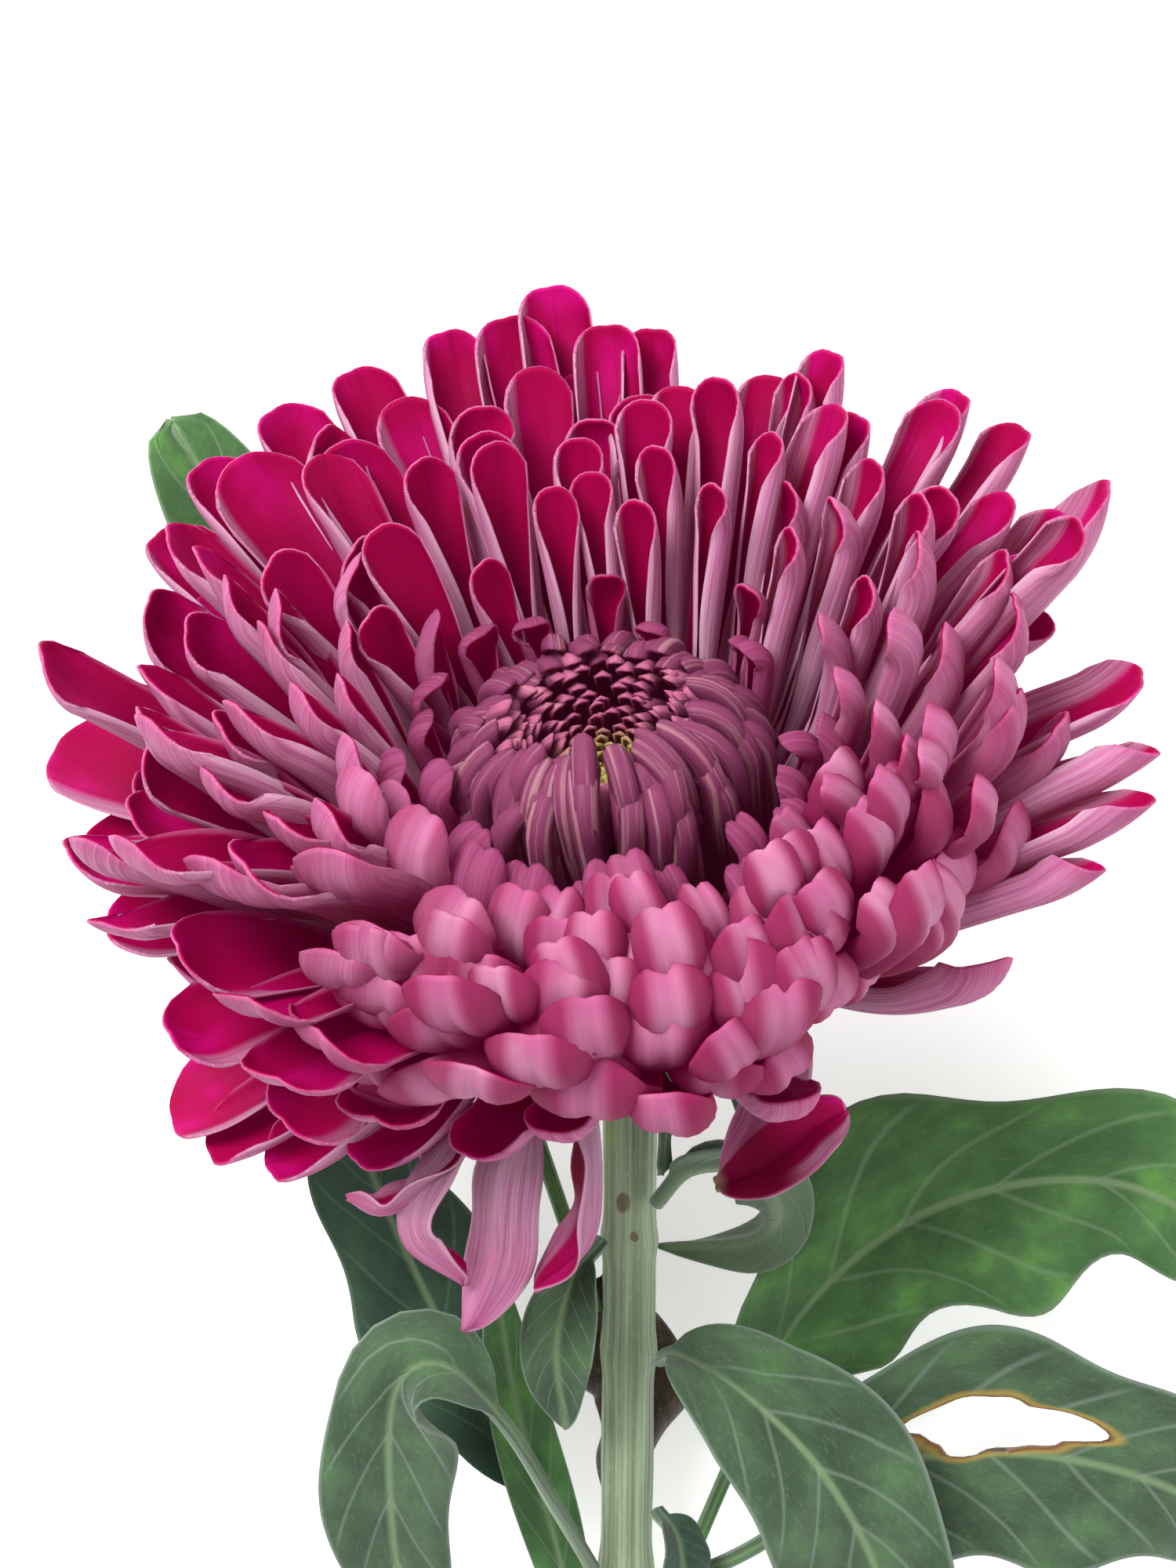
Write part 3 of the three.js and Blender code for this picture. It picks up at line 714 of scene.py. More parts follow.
def cut_hole(faces, cells):
    """Shell faces without the marked cells, with walls between the two faces round the hole."""
    along, across = cells.shape[0] + 1, cells.shape[1] + 1
    around = 2 * across
    sides = faces[: (along - 1) * around].reshape(along - 1, around, 4)
    keep = np.ones(sides.shape[:2], bool)
    keep[:, : across - 1] = ~cells
    keep[:, across : around - 1] = ~cells[:, ::-1]
    parts = [sides[keep], faces[(along - 1) * around :]]
    for axis in (0, 1):
        change = np.diff(cells.astype(int), axis=axis)
        for sign in (1, -1):
            i, j = np.nonzero(change == sign)
            i, j = i + 1 - axis, j + axis
            here, beyond = i * around, (i + axis) * around
            last = around - 1 - j
            loop = [here + j, here + last, beyond + last - 1 + axis, beyond + j + 1 - axis]
            parts.append(np.stack(loop if (sign == 1) == (axis == 0) else loop[::-1], -1))
    return np.concatenate(parts)


def leaf_shell(leaf, along=LEAF_ROWS, across=LEAF_COLUMNS, hole=None):
    """The closed shell of one leaf with its marks. A hole has a wavy outline round a point of the blade."""
    v, u = np.meshgrid(np.linspace(0, 1, along), np.linspace(-1, 1, across), indexing="ij")
    rim = np.full(v.shape, 9.0)
    if hole:
        dv, du = (v - hole["v"]) / hole["reach_v"], (u - hole["u"]) / hole["reach_u"]
        angle, far = np.arctan2(du, dv), np.hypot(du, dv)
        edge = 1 + sum(size * np.cos(order * angle + phase) for order, size, phase in hole["waves"])
        inside = far < edge
        cells = inside[:-1, :-1] & inside[1:, :-1] & inside[:-1, 1:] & inside[1:, 1:]
        pull = np.where(corners_of(cells) & corners_of(~cells), edge / np.maximum(far, 1e-6), 1.0)
        v = hole["v"] + (v - hole["v"]) * pull
        u = hole["u"] + (u - hole["u"]) * pull
        rim = np.maximum(far * pull - edge, 0)
    grid, b, x, length = leaf_sheet(leaf, u, v)
    rib = np.exp(-((x / 0.8) ** 2)) * (1 - 0.6 * v)
    half = leaf["thickness"] / 2 * (0.5 + 0.5 * np.sqrt(np.maximum(1 - u**4, 0))) + 0.42 * rib
    points = from_flower(shell(grid[None], half[None]))[0]
    upper = np.concatenate([np.zeros_like(v), np.ones_like(v)], axis=1)
    place = np.stack([both_faces(u, 1), both_faces(b, 1), upper], -1)
    kind = np.stack([both_faces(x, 1), both_faces(v * length, 1), both_faces(rim, 1)], -1)
    faces = shell_faces(1, along, 2 * across)
    return pour(points, cut_hole(faces, cells) if hole else faces, place, kind)


print("a leaf takes", LEAF_ROWS * LEAF_COLUMNS * 2, "points, and bends along a spline through its spine")

# %% [markdown]
# Some petals leave the order of the spiral. Along the far edge a row of them stands above the rim, at the
# sides a few reach past their neighbours, and the oldest ones under the bloom droop, hang down or turn up
# at their ends. Most are the same petal surface with their own shoulder, listed in a table. The hanging
# ones use the leaf surface instead, because their spine bends in a way that an arc cannot follow.

# %% Wayward petals
STRAYS = [
    # name, azimuth, foot (height, rise), shoulder (radius, height, rise), hood (angle, length), width,
    # half cup at the tip, bend, screw
    ("top_1", 94.5, -12, 12, 56, 26, 50, 30, 8.5, 13.5, 104, 0, 8),
    ("top_2", 100, -12, 12, 53.5, 24.5, 48, 34, 8.5, 14, 96, 0, 8),
    ("top_3", 88, -12, 12, 51, 24, 50, 28, 8, 13, 112, 0, 0),
    ("top_4", 82.5, -12, 12, 52, 22.5, 50, 28, 8, 12, 124, 0, -8),
    ("rim_1", 109, -12.5, 10, 54, 24, 44, 34, 8.5, 13, 118, -2, 10),
    ("rim_2", 118, -12.5, 10, 55, 22, 40, 30, 8.5, 13.5, 110, 0, 8),
    ("rim_3", 127, -12.5, 8, 57, 20, 36, 36, 8.5, 14, 96, 0, 12),
    ("rim_4", 137, -12.5, 8, 57, 18, 34, 34, 9, 14, 90, 0, 12),
    ("rim_5", 143.5, -13, 6, 58, 13, 30, 30, 8.5, 13, 84, 0, 10),
    ("rim_6", 59.5, -12.5, 10, 52, 21.5, 48, 30, 8.5, 12, 138, 1, -14),
    ("rim_7", 45.5, -12.5, 10, 54.5, 19.5, 40, 30, 8.5, 12.5, 134, 0, -14),
    ("rim_8", 38.5, -12.5, 8, 56, 17.5, 36, 26, 8.5, 12, 138, 0, -12),
    ("rim_9", 29, -13, 6, 54, 12, 34, 34, 8.5, 12.5, 124, 0, -10),
    ("rim_10", 51, -11, 14, 44, 21, 50, 30, 8.5, 12, 134, 0, -10),
    ("left_flat", 165, -11, 0, 57.5, 3, 8, 20, 9, 17, 30, 0, 4),
    ("left_torn", 151, -9, 12, 49.5, 11, 28, 20, 8, 9.5, 46, -3, 20),
    ("left_upper", 176, -12, 0, 53, -1, 10, 44, 8, 15, 84, 0, 10),
    ("left_lower", 183, -13, -8, 50, -5, 2, 40, 8, 14, 60, 0, 0),
    ("right_bright", 23, -9, 10, 57, 14, 32, 46, 11, 14.5, 76, 4, -30),
    ("right_short", 9, -11, 0, 52, 6, 16, 44, 9, 13.5, 76, 0, -16),
    ("right_sweep_1", -1, -12, -6, 52, 2.5, 18, 24, 8, 12.5, 140, 3, -46),
    ("right_sweep_2", -8, -12, -8, 50, 0, 20, 26, 9.5, 13, 104, 4, -30),
    ("right_sweep_3", -15, -12, -8, 46, -3, 24, 30, 8, 12.5, 150, 3, -52),
    ("upturned", -23.5, -13, -28, 38, -14, 28, 70, 8, 12.5, 112, 3, -52),
    ("low_left_1", 193, -13, -25, 46, -23, -22, 20, 9, 14.5, 54, 0, 0),
    ("low_left_2", 200, -13, -28, 43, -24, -20, 26, 9, 14, 74, 0, 8),
    ("low_left_3", 208, -14, -30, 38, -24, -16, 30, 9, 13, 84, 0, 8),
    ("low_left_4", 218, -14, -34, 31, -22, -10, 40, 9, 12.5, 84, 0, 0),
    ("low_middle_1", 236, -14, -36, 26, -21, 0, 60, 9, 12, 96, 0, 0),
    ("low_middle_2", 252, -14, -36, 24, -19, 10, 70, 9, 12, 104, 0, 0),
    ("low_right", 300, -14, -32, 30, -16, 20, 70, 9, 12, 110, 0, -20),
]
HANGING = [
    # name, direction of the inner face, width, share of stalk, spine in the flower frame
    ("hanging_long", (0.5, 1, 0), 9.5, 0.05,
        [(-9, -2, -24), (-13, -10, -34), (-14, -11, -44), (-17, -9, -53.5)]),
    ("hanging_right", (-1, -0.2, -0.2), 7.5, 0.05,
        [(-4, -4, -24), (-2.8, -10, -34), (-3.8, -11, -42), (-9.4, -10, -48)]),
    ("hanging_left", (1, 0.3, 0), 9, 0.05,
        [(-14, -6, -27), (-22, -11, -34), (-23, -12, -41), (-16.7, -11, -46.5)]),
    ("hanging_curl", (0.2, 0.2, 1), 6.5, 0.05,
        [(-14, -6, -26), (-20, -11, -34), (-25.7, -12, -37.3), (-29.5, -12, -35.5)]),
    ("bent_stalk", (0.6, 1, 0), 7.5, 0.2,
        [(11, -1, -13), (17.5, -8, -20), (15, -12, -27), (11.3, -13.6, -33)]),
    ("bent_end", (-0.1, -1, 0.5), 8, 0.0,
        [(10.6, -13.8, -33.6), (14, -15, -32), (18.5, -15.6, -28.4), (21, -14.8, -26.4),
            (24.6, -12.6, -25.4)]),
]
OLD = 0.9  # the age of every stray petal
STRAY_KEYS = (
    "azimuth", "foot_h", "foot_rise", "top_r", "top_h", "top_rise", "hood", "hood_length", "width", "cup_tip",
    "bend", "screw")


def stray_petals():
    """Petal values from the table of strays."""
    values = dict(zip(STRAY_KEYS, np.array([row[1:] for row in STRAYS], float).T))
    notch = [0.14 if row[0] == "left_torn" else 0.01 for row in STRAYS]
    return dict(
        values, foot_r=13, neck=4, cup_foot=160, opens=0.45, roll=1.25, rounding=0.16, notch=notch,
        furrow=0.15, frill=0.45, age=OLD, chance=rng.random(len(STRAYS)),
    )


shells = petal_shells(stray_petals(), along=28, across=15)
for i, (name, *_) in enumerate(STRAYS):
    points, faces, marks = single(shells, i)
    add_piece("stray_petal_" + name, points, faces, petal_skin, [], marks)

HANGING_SHAPE = dict(
    blunt=0.45, lobe=0, lobes=2, belly=1.15, fold=30, curl=0, ripple=0.5, skew=0, thickness=0.5, age=0.2)
for name, face, width, stalk, spine in HANGING:
    shape = dict(HANGING_SHAPE, spine=spine, faces=[face, face], width=width, stalk=stalk)
    points, faces, marks = leaf_shell(shape, along=36, across=15)
    marks["kind"][:] = (OLD, rng.random(), 0)
    add_piece("stray_petal_" + name, points, faces, petal_skin, [], marks)
print("stray petals:", len(STRAYS) + len(HANGING))

# %% [markdown]
# Chrysanthemum leaves are covered in fine pale down, so they look grey-green rather than green. The veins
# and the margin are paler, and where light comes through the blade it turns a bright yellow-green. The
# finish works the side veins out from the place on the leaf: they leave the midrib at equal steps and run
# forward to the margin. Round the torn hole the blade has dried to a brown and yellow rim. The withered
# leaf has brown tones only.

# %% Leaf finishes
def leaf_finish(name, codes, level, glow=0.0, withered=False):
    """Green between a deep and a plain tone, lit in patches, with pale down, veins, margin and back."""
    deep, skin, down, bright = (srgb(code, level) for code in codes)
    f = Finish(
        name, Sheen_Weight=0.22, Sheen_Roughness=0.5, Specular_IOR_Level=0.3, Subsurface_Weight=0.06,
        Subsurface_Scale=0.001)
    across, along, upper = f.mark("place")
    across_mm, along_mm, rim = f.mark("kind")
    cloud = f.noise(f.vector(across_mm * 0.16, along_mm * 0.11, upper * 5), 1.0, 3.0)
    fuzz = f.noise(f.vector(across_mm * 2.2, along_mm * 0.9, upper * 3), 1.5, 4.0, 0.7)
    mottle = f.noise(f.vector(across_mm * 0.7, along_mm * 0.6, upper * 9), 1.3, 4.0, 0.6)
    spacing = (along * SIDE_VEINS - abs(across) * VEIN_SLANT).math("FRACT")
    side_vein = spacing.peak(0.5, 0.09) * (1 - abs(across).step(0.75, 1.0)) * along.step(0.05, 0.2)
    midrib = 1 - abs(across_mm).step(0.25, 0.95)
    margin = abs(across).step(0.93, 1.0)
    colour = f.mix(cloud.step(0.3, 0.7), deep, skin)
    colour = f.mix(cloud.step(0.52, 0.8) * glow, colour, bright)
    colour = f.mix(mottle.step(0.5, 0.75) * 0.35, colour, deep)
    colour = f.mix(fuzz.step(0.5, 0.85) * 0.4, colour, down)
    colour = f.mix(side_vein * 0.35, colour, down)
    colour = f.mix(midrib * 0.7, colour, srgb("#8eab7c"))
    colour = f.mix(margin * 0.6, colour, down)
    colour = f.mix((1 - upper.step(0.3, 0.7)) * 0.45, colour, srgb("#7f9a78"))
    if withered:
        colour = f.mix(fuzz.step(0.3, 0.7), srgb("#2f2620"), srgb("#6a5038"))
        colour = f.mix(mottle.step(0.55, 0.7) * 0.6, colour, srgb("#8a7458"))
    else:
        colour = f.mix(1 - rim.step(0.05, 0.3), colour, srgb("#b9a04a"))
        colour = f.mix(1 - rim.step(0.0, 0.12), colour, srgb("#8a5c2c"))
    f.set(Base_Color=colour, Roughness=0.55 + fuzz * 0.25)
    f.bump(fuzz * 0.35 + mottle * 0.5 - side_vein * 0.5, 0.0004, 0.6)
    return f.material


LEAF_LIGHT, DRY_LIGHT = 0.68, 0.56
# leaf_lit is a lighter green, painted light for blades lit from behind; leaf_shaded is a darker green,
# painted shade for blades in shadow.
leaf_green = leaf_finish("leaf_green", ("#2e4a2c", "#4a6847", "#8ea394", "#4f8a34"), LEAF_LIGHT, 0.4)
leaf_painted_light = leaf_finish("leaf_lit", ("#33602c", "#4f8040", "#84a47c", "#66a83a"), LEAF_LIGHT, 0.85)
leaf_painted_shade = leaf_finish("leaf_shaded", ("#1f3d2a", "#33553e", "#64806a", "#3d7030"), LEAF_LIGHT, 0.3)
leaf_dry = leaf_finish("leaf_dry", ("#2f2620", "#5b4633", "#8a7458", "#5b4633"), DRY_LIGHT, 0, True)
print("leaf finishes:", [f.name for f in (leaf_green, leaf_painted_light, leaf_painted_shade, leaf_dry)])

# %% [markdown]
# Each leaf is a row of a table: its finish, its width and shape, and the points of its spine in the flower
# frame. Leaves grow one by one along a stem and turn to the light, so each has its own bend. They could be
# instances of one leaf with a Curve modifier, but then all would have the same outline. Bracts are small
# plain leaves close under the bloom.

# %% The leaves and bracts
LEAF_SHAPE = dict(
    blunt=0.75, stalk=0.15, lobe=0.14, lobes=2.6, belly=0.75, fold=16, curl=0.12, ripple=1, skew=1,
    thickness=0.5, age=0.3)
BRACT_SHAPE = dict(LEAF_SHAPE, lobe=0, curl=0.05, ripple=0.3, fold=22)
LEAVES = [
    ("leaf_front_right", leaf_green, dict(
        LEAF_SHAPE, width=21, stalk=0.06, lobe=0.05, age=0.1, faces=[(0, -1, 1), (-0.35, -1, 0.35)],
        spine=[(4.6, 5, -64.5), (7, 1, -62), (14, -4, -64), (23, -8, -72), (30, -8, -86), (34, -4, -108)])),
    ("leaf_right_torn", leaf_green, dict(
        LEAF_SHAPE, width=27, stalk=0.26, lobe=0.1, belly=0.62, fold=8, faces=[(0, -1, 0.5), (0, -1, 0.3)],
        spine=[(4, 6, -96), (16, 3, -88), (29, 3, -78), (46, 2, -75), (64, 3, -80), (78, 6, -92)])),
    ("leaf_right_high", leaf_painted_light, dict(
        LEAF_SHAPE, width=27, stalk=0.3, lobe=0.2, belly=0.7, age=0.7, faces=[(0.3, -1, 0.2), (0, -1, 0.4)],
        spine=[(4, 9, -106), (13, 13, -84), (21, 14, -64), (37, 13, -49), (58, 11, -45), (80, 12, -58)])),
    ("leaf_left_arched", leaf_green, dict(
        LEAF_SHAPE, width=15.5, stalk=0.34, lobe=0.08, fold=14, faces=[(0.2, -0.4, 1), (-0.1, -1, 0.1)],
        spine=[
            (-2.4, 6, -93), (-7, 0, -81), (-13, -4, -68), (-20, -6, -59.5),
            (-25.5, -5, -64), (-26, -2, -84), (-23.5, 3, -108)])),
    ("leaf_left_shaded", leaf_painted_shade, dict(
        LEAF_SHAPE, width=18, stalk=0.2, lobe=0.12, age=0.9, faces=[(0, -1, 0.2), (0, -1, 0.2)],
        spine=[(-2.4, 9.4, -99), (-13, 13, -80), (-23, 15, -60), (-30, 16, -42), (-34, 17, -28)])),
    ("leaf_behind_bloom", leaf_painted_light, dict(
        LEAF_SHAPE, width=15, stalk=0.3, lobe=0.02, belly=1.9, blunt=0.36,
        faces=[(0, -1, 0.4), (0.2, -1, 0.3)],
        spine=[(-2.4, 10, -61), (-14, 24, -32), (-30, 32, 2), (-43, 38, 23), (-52, 42, 38)])),
    ("leaf_strap", leaf_painted_light, dict(
        BRACT_SHAPE, width=8, stalk=0.08, belly=0.9, faces=[(0.2, -1, 0), (0.2, -1, 0)],
        spine=[(-2.6, 7, -113), (-7, 8.5, -92), (-12, 9.5, -72), (-15, 10, -52)])),
    ("leaf_bud", leaf_painted_shade, dict(
        BRACT_SHAPE, width=7, stalk=0.1, faces=[(1, -1, 0), (0.6, -1, 0)],
        spine=[(4.4, 3.2, -83), (7, 0.6, -86), (8, -1, -94)])),
    ("bract_hanging", leaf_green, dict(
        BRACT_SHAPE, width=9, stalk=0.1, faces=[(0, -1, 0.3), (0, -1, 0)],
        spine=[(-1.6, 4.6, -49), (-5, 1, -52), (-7, -1, -60), (-6, 0, -71)])),
    ("bract_curled", leaf_green, dict(
        BRACT_SHAPE, width=9.5, stalk=0.1, faces=[(-0.2, 0.1, 1), (0.2, 0.4, -1)],
        spine=[
            (4.2, 6, -45), (8, 3.4, -39.5), (14, 2, -38.8),
            (18, 5, -45), (15.6, 9.6, -51.6), (5, 12.4, -54)])),
    ("bract_thin", leaf_painted_shade, dict(
        BRACT_SHAPE, width=3, stalk=0.1, faces=[(0, -1, 1), (0.5, -1, 0)],
        spine=[(6.8, 8.8, -22.4), (12.4, 6, -25), (14, 3, -31), (16.4, 2, -39)])),
    ("bract_sliver", leaf_painted_shade, dict(
        BRACT_SHAPE, width=2.4, stalk=0.1, faces=[(1, -1, 0), (1, -1, 0)],
        spine=[(4.8, 6.6, -25), (5.4, 5, -33), (5.2, 4.6, -41)])),
    ("leaf_withered", leaf_dry, dict(
        BRACT_SHAPE, width=13, stalk=0.05, ripple=1.6, curl=0.4, faces=[(0, -1, 0), (0.3, -1, 0)],
        spine=[(0, 12.6, -56), (-3, 14.6, -64), (3, 16, -74), (-1, 15.4, -88)])),
]
TORN_HOLE = dict(
    v=0.54, u=-0.24, reach_v=0.1, reach_u=0.27,
    waves=[(2, 0.2, 0.4), (3, 0.16, 1.1), (5, 0.1, 2.0), (9, 0.05, 0.7)])
for name, skin, shape in LEAVES:
    small = shape["width"] < WIDE_LEAF
    torn = TORN_HOLE if name == "leaf_right_torn" else None
    grid_size = dict(along=36, across=15) if small else dict(along=110, across=49) if torn else {}
    points, faces, marks = leaf_shell(shape, hole=torn, **grid_size)
    add_piece(name + "_blade", points, faces, skin, [name], marks)
    print(name, len(faces), "faces, closed volume", round(volume(points, faces)), "mm3")

# %% [markdown]
# The stem is a tube of rings carried along its bent spine. Seven soft ribs run its length, it swells where
# leaves grow, and the last rings shrink to the middle to make the cut, where pale pith shows inside a
# green rind.

# %% The stem
STEM_RADIUS, NECK_LENGTH = 3.0, 19.35
RIBS = 7
LEAF_JOINTS = (37, 52, 80, 84)  # millimetres down the stem
STEM_LIGHT = 0.95
stem_low = np.array(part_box("stem")[0]) / MM
neck_end = -bloom_axis * NECK_LENGTH
stem_depth = neck_end[1] + 2.4
cut_y = stem_low[1] + STEM_RADIUS * sin_slope - shift[1]
cut_height = (cut_y - stem_depth * sin_slope) / cos_slope


def stem_spine():
    """From inside the receptacle along the bloom's axis, round the neck and straight down to the cut."""
    down = [(1.6 * (1 - z / (2 * cut_height)), stem_depth, z) for z in (-32, -50, -80, -115, cut_height)]
    return [neck_end + bloom_axis * 2, neck_end, neck_end - bloom_axis * 5, *down]


def stem_rings(rows=150, around=56):
    """Rings of points round the spine: radius = stem + swellings + ribs, a cosine of the angle round it."""
    v = np.linspace(0, 1, rows)
    centre, along, length = spline(stem_spine(), v)
    theta = np.linspace(0, 2 * np.pi, around, endpoint=False)
    side = unit(np.array([1.0, 0, 0]) - along * along[:, :1])
    face = np.cross(along, side)
    mm = (v * length)[:, None]
    radius = STEM_RADIUS + 0.7 * (1 - smooth(0, 14, mm)) + 1.3 * (1 - smooth(0, 5, mm))
    for joint in LEAF_JOINTS:
        radius = radius + 0.35 * np.exp(-(((mm - joint) / 2.2) ** 2))
    ribs = 0.14 * np.cos(RIBS * theta + 0.006 * mm) + 0.05 * np.cos(2 * RIBS * theta + 1)
    radius = radius + ribs * smooth(2, 12, mm) + 0.05 * np.sin(0.31 * mm + 2 * theta)
    across, through = np.cos(theta) * radius, np.sin(theta) * radius
    tube = centre[:, None] + side[:, None] * across[..., None] + face[:, None] * through[..., None]
    cut = centre[-1] + (tube[-1] - centre[-1]) * np.array([0.85, 0.6, 0.3, 0.02])[:, None, None]
    top = centre[0] + (tube[0] - centre[0]) * np.array([0.02, 0.6])[:, None, None]
    rings = np.concatenate([top, tube, cut])
    shares = np.concatenate([[0, 0], v, np.ones(4)])
    core = np.concatenate([[1, 1], np.zeros(rows), [0.15, 0.4, 0.7, 1.0]])
    mark = np.stack(np.broadcast_arrays(theta / np.pi - 1, (shares * length)[:, None], core[:, None]), -1)
    return rings, mark


def stem_finish():
    """Striped pale green with darker valleys between the ribs, fuzz, two dark scars, and pith in the cut."""
    f = Finish("stem_skin", Sheen_Weight=0.2, Specular_IOR_Level=0.3)
    around, mm, core = f.mark("place")
    stripes = f.noise(f.vector(around * 14, mm * 0.02, 3), 1.4, 3.0, 0.6)
    fuzz = f.noise(f.vector(around * 30, mm * 0.5, 7), 1.3, 4.0, 0.7)
    cloud = f.noise(f.vector(around * 1.5, mm * 0.06, 1), 1.2, 3.0)
    valley = ((around + 1) * (RIBS / 2)).math("FRACT").peak(0.5, 0.32)
    colour = f.mix(stripes.step(0.35, 0.7), srgb("#7a8c6c", STEM_LIGHT), srgb("#a6b898", STEM_LIGHT))
    colour = f.mix(valley * 0.5, colour, srgb("#586a4c", STEM_LIGHT))
    colour = f.mix(fuzz.step(0.5, 0.8) * 0.4, colour, srgb("#c6d4ba", STEM_LIGHT))
    colour = f.mix(cloud.step(0.52, 0.75) * 0.5, colour, srgb("#8aa85a", STEM_LIGHT))
    scar = (mm + cloud * 3).peak(33, 1.8) * abs(around + 0.42).peak(0, 0.17)
    scar = scar + (mm + cloud * 2).peak(36, 1.2) * abs(around + 0.56).peak(0, 0.1)
    colour = f.mix(scar.step(0.3, 0.6) * 0.85, colour, srgb("#5d4a35", STEM_LIGHT))
    colour = f.mix(core.step(0.05, 0.3), colour, srgb("#8fa56a", STEM_LIGHT))
    colour = f.mix(core.step(0.3, 0.7), colour, srgb("#dfe2cb", STEM_LIGHT))
    f.set(Base_Color=colour, Roughness=0.5 + fuzz * 0.25)
    f.bump(stripes * 0.6 + fuzz * 0.4, 0.0003, 0.6)
    return f.material


stem_skin = stem_finish()
rings, mark = stem_rings()
points = from_flower(rings).reshape(-1, 3)
faces = ring_walls(*rings.shape[:2])[:, [0, 3, 2, 1]]  # turned round, because its rings run the other way
add_piece("stem_tube", points, faces, stem_skin, ["stem"], {"place": mark.reshape(-1, 3)})
print("stem cut", round(-cut_height, 1), "mm below the bloom, volume", round(volume(points, faces)), "mm3")

# %% [markdown]
# Under the petals sits the involucre: rows of small green scales with papery edges that held the bud
# closed. They grow in the same spiral as the petals, and a scale is close enough to a short flat petal for
# the same surface. The receptacle is hidden under them. It keeps its CAD shape and takes a dull flecked
# green of its own.

# %% The involucre
def scale_values(count=34):
    """Scales from the outer ones, level 0, down to the small ones at the stem, level 1."""
    level = np.arange(count) / (count - 1)
    wobble = rng.normal(size=(4, count))
    return dict(
        azimuth=np.arange(count) * GOLDEN_ANGLE,
        foot_r=blend(5.6, 4.2, level), foot_h=blend(-19.5, -22.5, level), foot_rise=blend(40, 20, level),
        top_r=blend(12.6, 8.4, level) + 0.3 * wobble[0], top_h=blend(-14.6, -19.4, level) + 0.3 * wobble[1],
        top_rise=blend(34, 20, level) + 6 * wobble[2],
        hood=26, hood_length=1.6, width=blend(3.6, 2.8, level), neck=2.4, cup_foot=50, cup_tip=62, opens=0.6,
        roll=1, rounding=0.42, bend=0.3 * wobble[3], screw=4 * wobble[0], furrow=0.1, frill=0.03,
        age=level, chance=rng.random(count),
    )


def scale_finish():
    """Veined green with papery margins."""
    f = Finish("scale_skin", Roughness=0.6, Sheen_Weight=0.2, Specular_IOR_Level=0.3)
    across, along, _ = f.mark("place")
    _, chance, _ = f.mark("kind")
    vein = f.noise(f.vector(across * 5 + chance * 9, along, chance * 5), 1.5, 3.0)
    colour = f.mix(vein.step(0.4, 0.7), srgb("#4c6440"), srgb("#78905f"))
    colour = f.mix(abs(across).step(0.6, 0.95) * 0.8, colour, srgb("#b9a982"))
    f.set(Base_Color=colour)
    f.bump(vein, 0.0002, 0.5)
    return f.material


def receptacle_finish():
    """Dull green flesh, flecked where petals grow close together."""
    f = Finish("receptacle_skin", Roughness=0.6, Specular_IOR_Level=0.2)
    fleck = f.noise(f.position(), 900.0, 3.0)
    f.set(Base_Color=f.mix(fleck.step(0.35, 0.65), srgb("#3c3a26"), srgb("#6a6a40")))
    f.bump(fleck, 0.0003, 0.6)
    return f.material


points, faces, marks = pour(*petal_shells(scale_values(), along=12, across=9, thickness=0.35))
add_piece("involucre_scales", points, faces, scale_finish(), ["involucre"], marks)
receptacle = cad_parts["receptacle"]
receptacle.data.materials.clear()
receptacle.data.materials.append(receptacle_finish())
print("involucre:", len(faces), "faces; receptacle:", len(receptacle.data.polygons), "from the frame")

# %% [markdown]
# The flower lies on a plain pale table. A large soft lamp on the far left and a weak one on the right
# leave soft shadows, and the white world fills them, as in a bright studio. A spot or a sun would draw
# hard shadows between the petals. The table glows a little, so that it stays white under the flower.

# %% Floor and light
FLOOR_REACH, FLOOR_GLOW = 4, 0.4
WORLD_LIGHT = 0.72


def place_stage():
    """A square white table top at height 0, in metres."""
    a = FLOOR_REACH
    floor = bpy.data.meshes.new("table_top")
    floor.from_pydata([(-a, -a, 0), (a, -a, 0), (a, a, 0), (-a, a, 0)], [], [(0, 1, 2, 3)])
    f = Finish("table_white", Roughness=0.7, Specular_IOR_Level=0.2, Emission_Strength=FLOOR_GLOW)
    speck = f.noise(f.position(), 90.0, 4.0)
    f.set(Base_Color=f.mix(speck, srgb("#f6f6f6", 1), srgb("#fdfdfd", 1)), Emission_Color=(1, 1, 1, 1))
    floor.materials.append(f.material)
    table = bpy.data.objects.new("table_top", floor)
    scene.collection.objects.link(table)


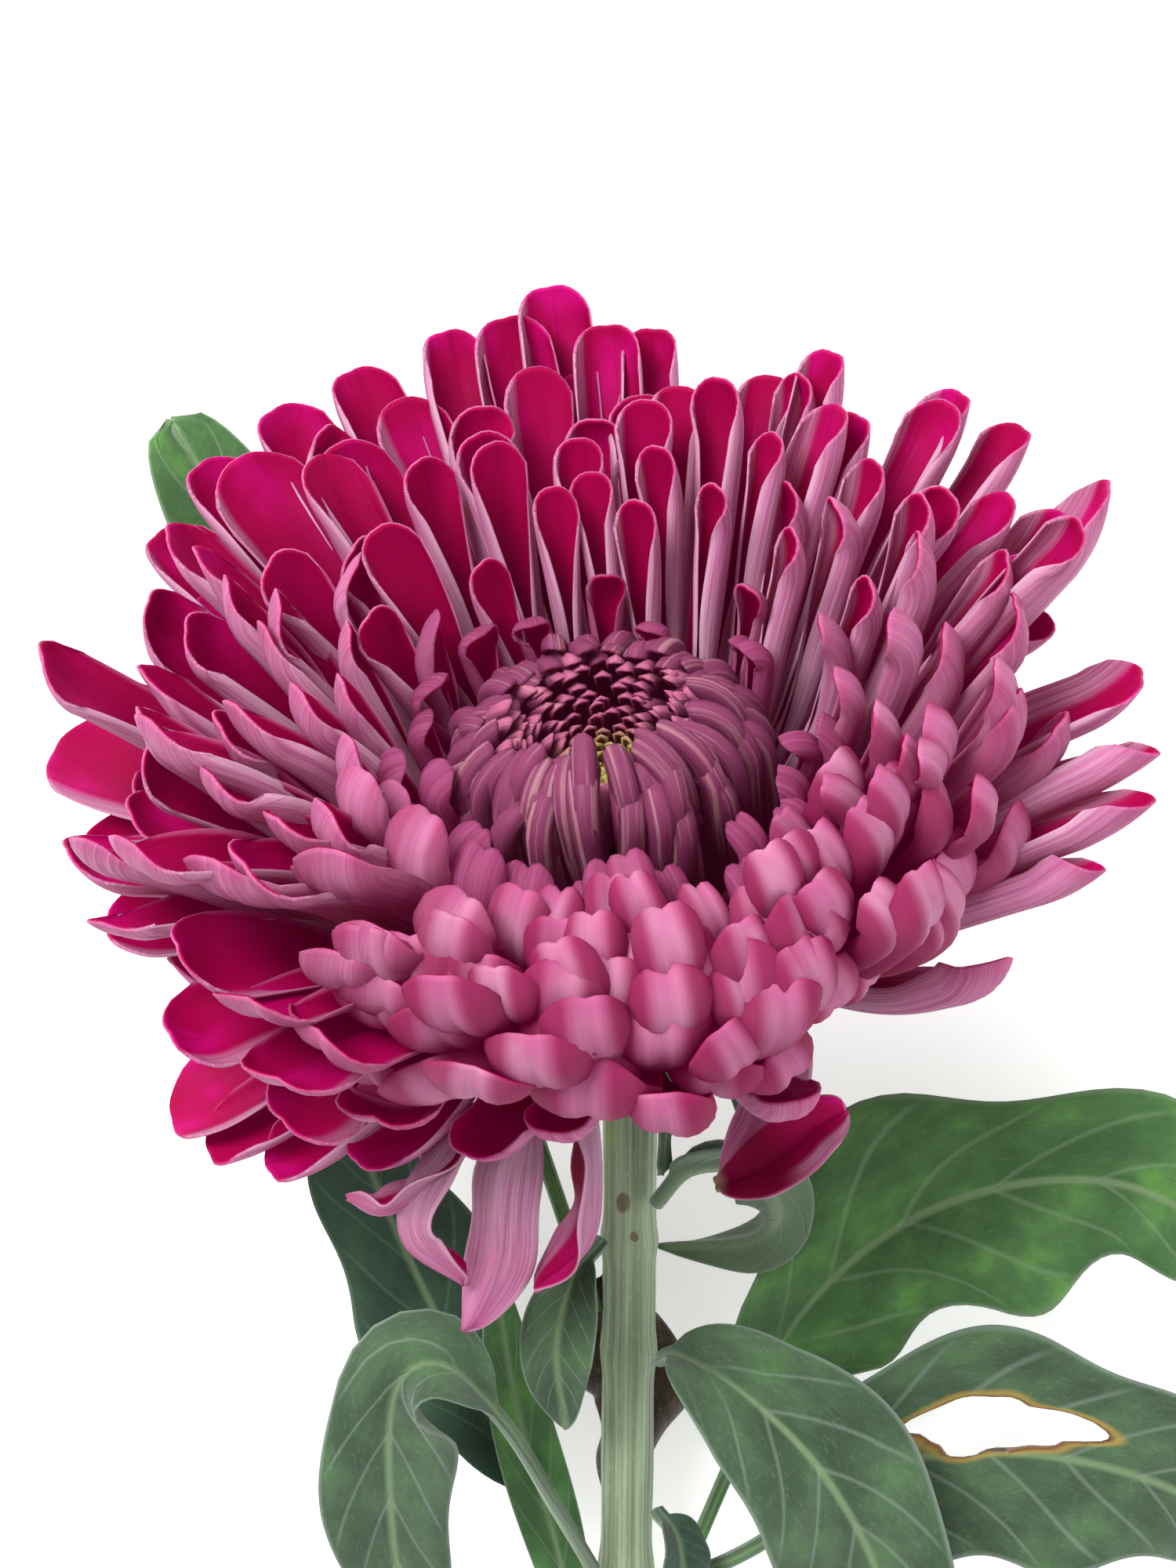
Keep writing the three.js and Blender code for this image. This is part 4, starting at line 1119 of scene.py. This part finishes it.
def add_light(name, place, target, size, watts):
    """A square soft box that looks at a target, in metres."""
    lamp = bpy.data.lights.new(name, "AREA")
    lamp.size, lamp.energy = size, watts
    holder = bpy.data.objects.new(name, lamp)
    holder.location = place
    holder.rotation_euler = (Vector(target) - Vector(place)).to_track_quat("-Z", "Y").to_euler()
    scene.collection.objects.link(holder)


place_stage()
bloom_origin = from_bloom(np.zeros(3)) * MM
add_light("key_window", (-0.45, 0.55, 0.75), bloom_origin, 0.5, 17)
add_light("fill_wall", (0.7, -0.1, 0.6), bloom_origin, 0.8, 4)
world = bpy.data.worlds.new("studio")
world.use_nodes = True
world.node_tree.nodes["Background"].inputs["Color"].default_value = (1, 1, 1, 1)
world.node_tree.nodes["Background"].inputs["Strength"].default_value = WORLD_LIGHT
scene.world = world
scene.view_settings.view_transform = "Standard"
print("lamps:", [(lamp.name, lamp.energy) for lamp in bpy.data.lights])

# %% [markdown]
# The flower is seen as if it stood upright, so the camera looks down on the laid flower along the flower
# frame's own directions, a little from above the bloom. It could be turned by hand with angles, but three
# directions at right angles to each other make its matrix at once. The bloom's place in the frame says how
# far to shift it.

# %% Camera
VIEW_DOWN = 19  # degrees by which the camera looks down on the upright flower
DISTANCE = 430  # from the bloom's origin
MILLIMETRE_IN_FRAME = 0.005835  # how much of the frame's height a millimetre at the bloom takes
BLOOM_IN_FRAME = (0.02, -0.0425)  # the origin's place right of and above the middle, in frame heights

cos_view, sin_view = turn(VIEW_DOWN)
look = np.array([0, cos_view, -sin_view]) @ laid_rows
above = np.array([0, sin_view, cos_view]) @ laid_rows
right = np.cross(look, above)
focal = MILLIMETRE_IN_FRAME * DISTANCE
camera_data = bpy.data.cameras.new("camera")
camera_data.lens = focal * camera_data.sensor_width
camera = bpy.data.objects.new("camera", camera_data)
aside = (right * BLOOM_IN_FRAME[0] + above * BLOOM_IN_FRAME[1]) / focal
spot = bloom_origin - DISTANCE * MM * (look + aside)
axes = np.array([right, above, -look]).T
camera.matrix_world = Matrix([(*row, place) for row, place in zip(axes, spot)] + [(0, 0, 0, 1)])
scene.collection.objects.link(camera)
scene.camera = camera
print("lens", round(camera_data.lens, 1), "mm")
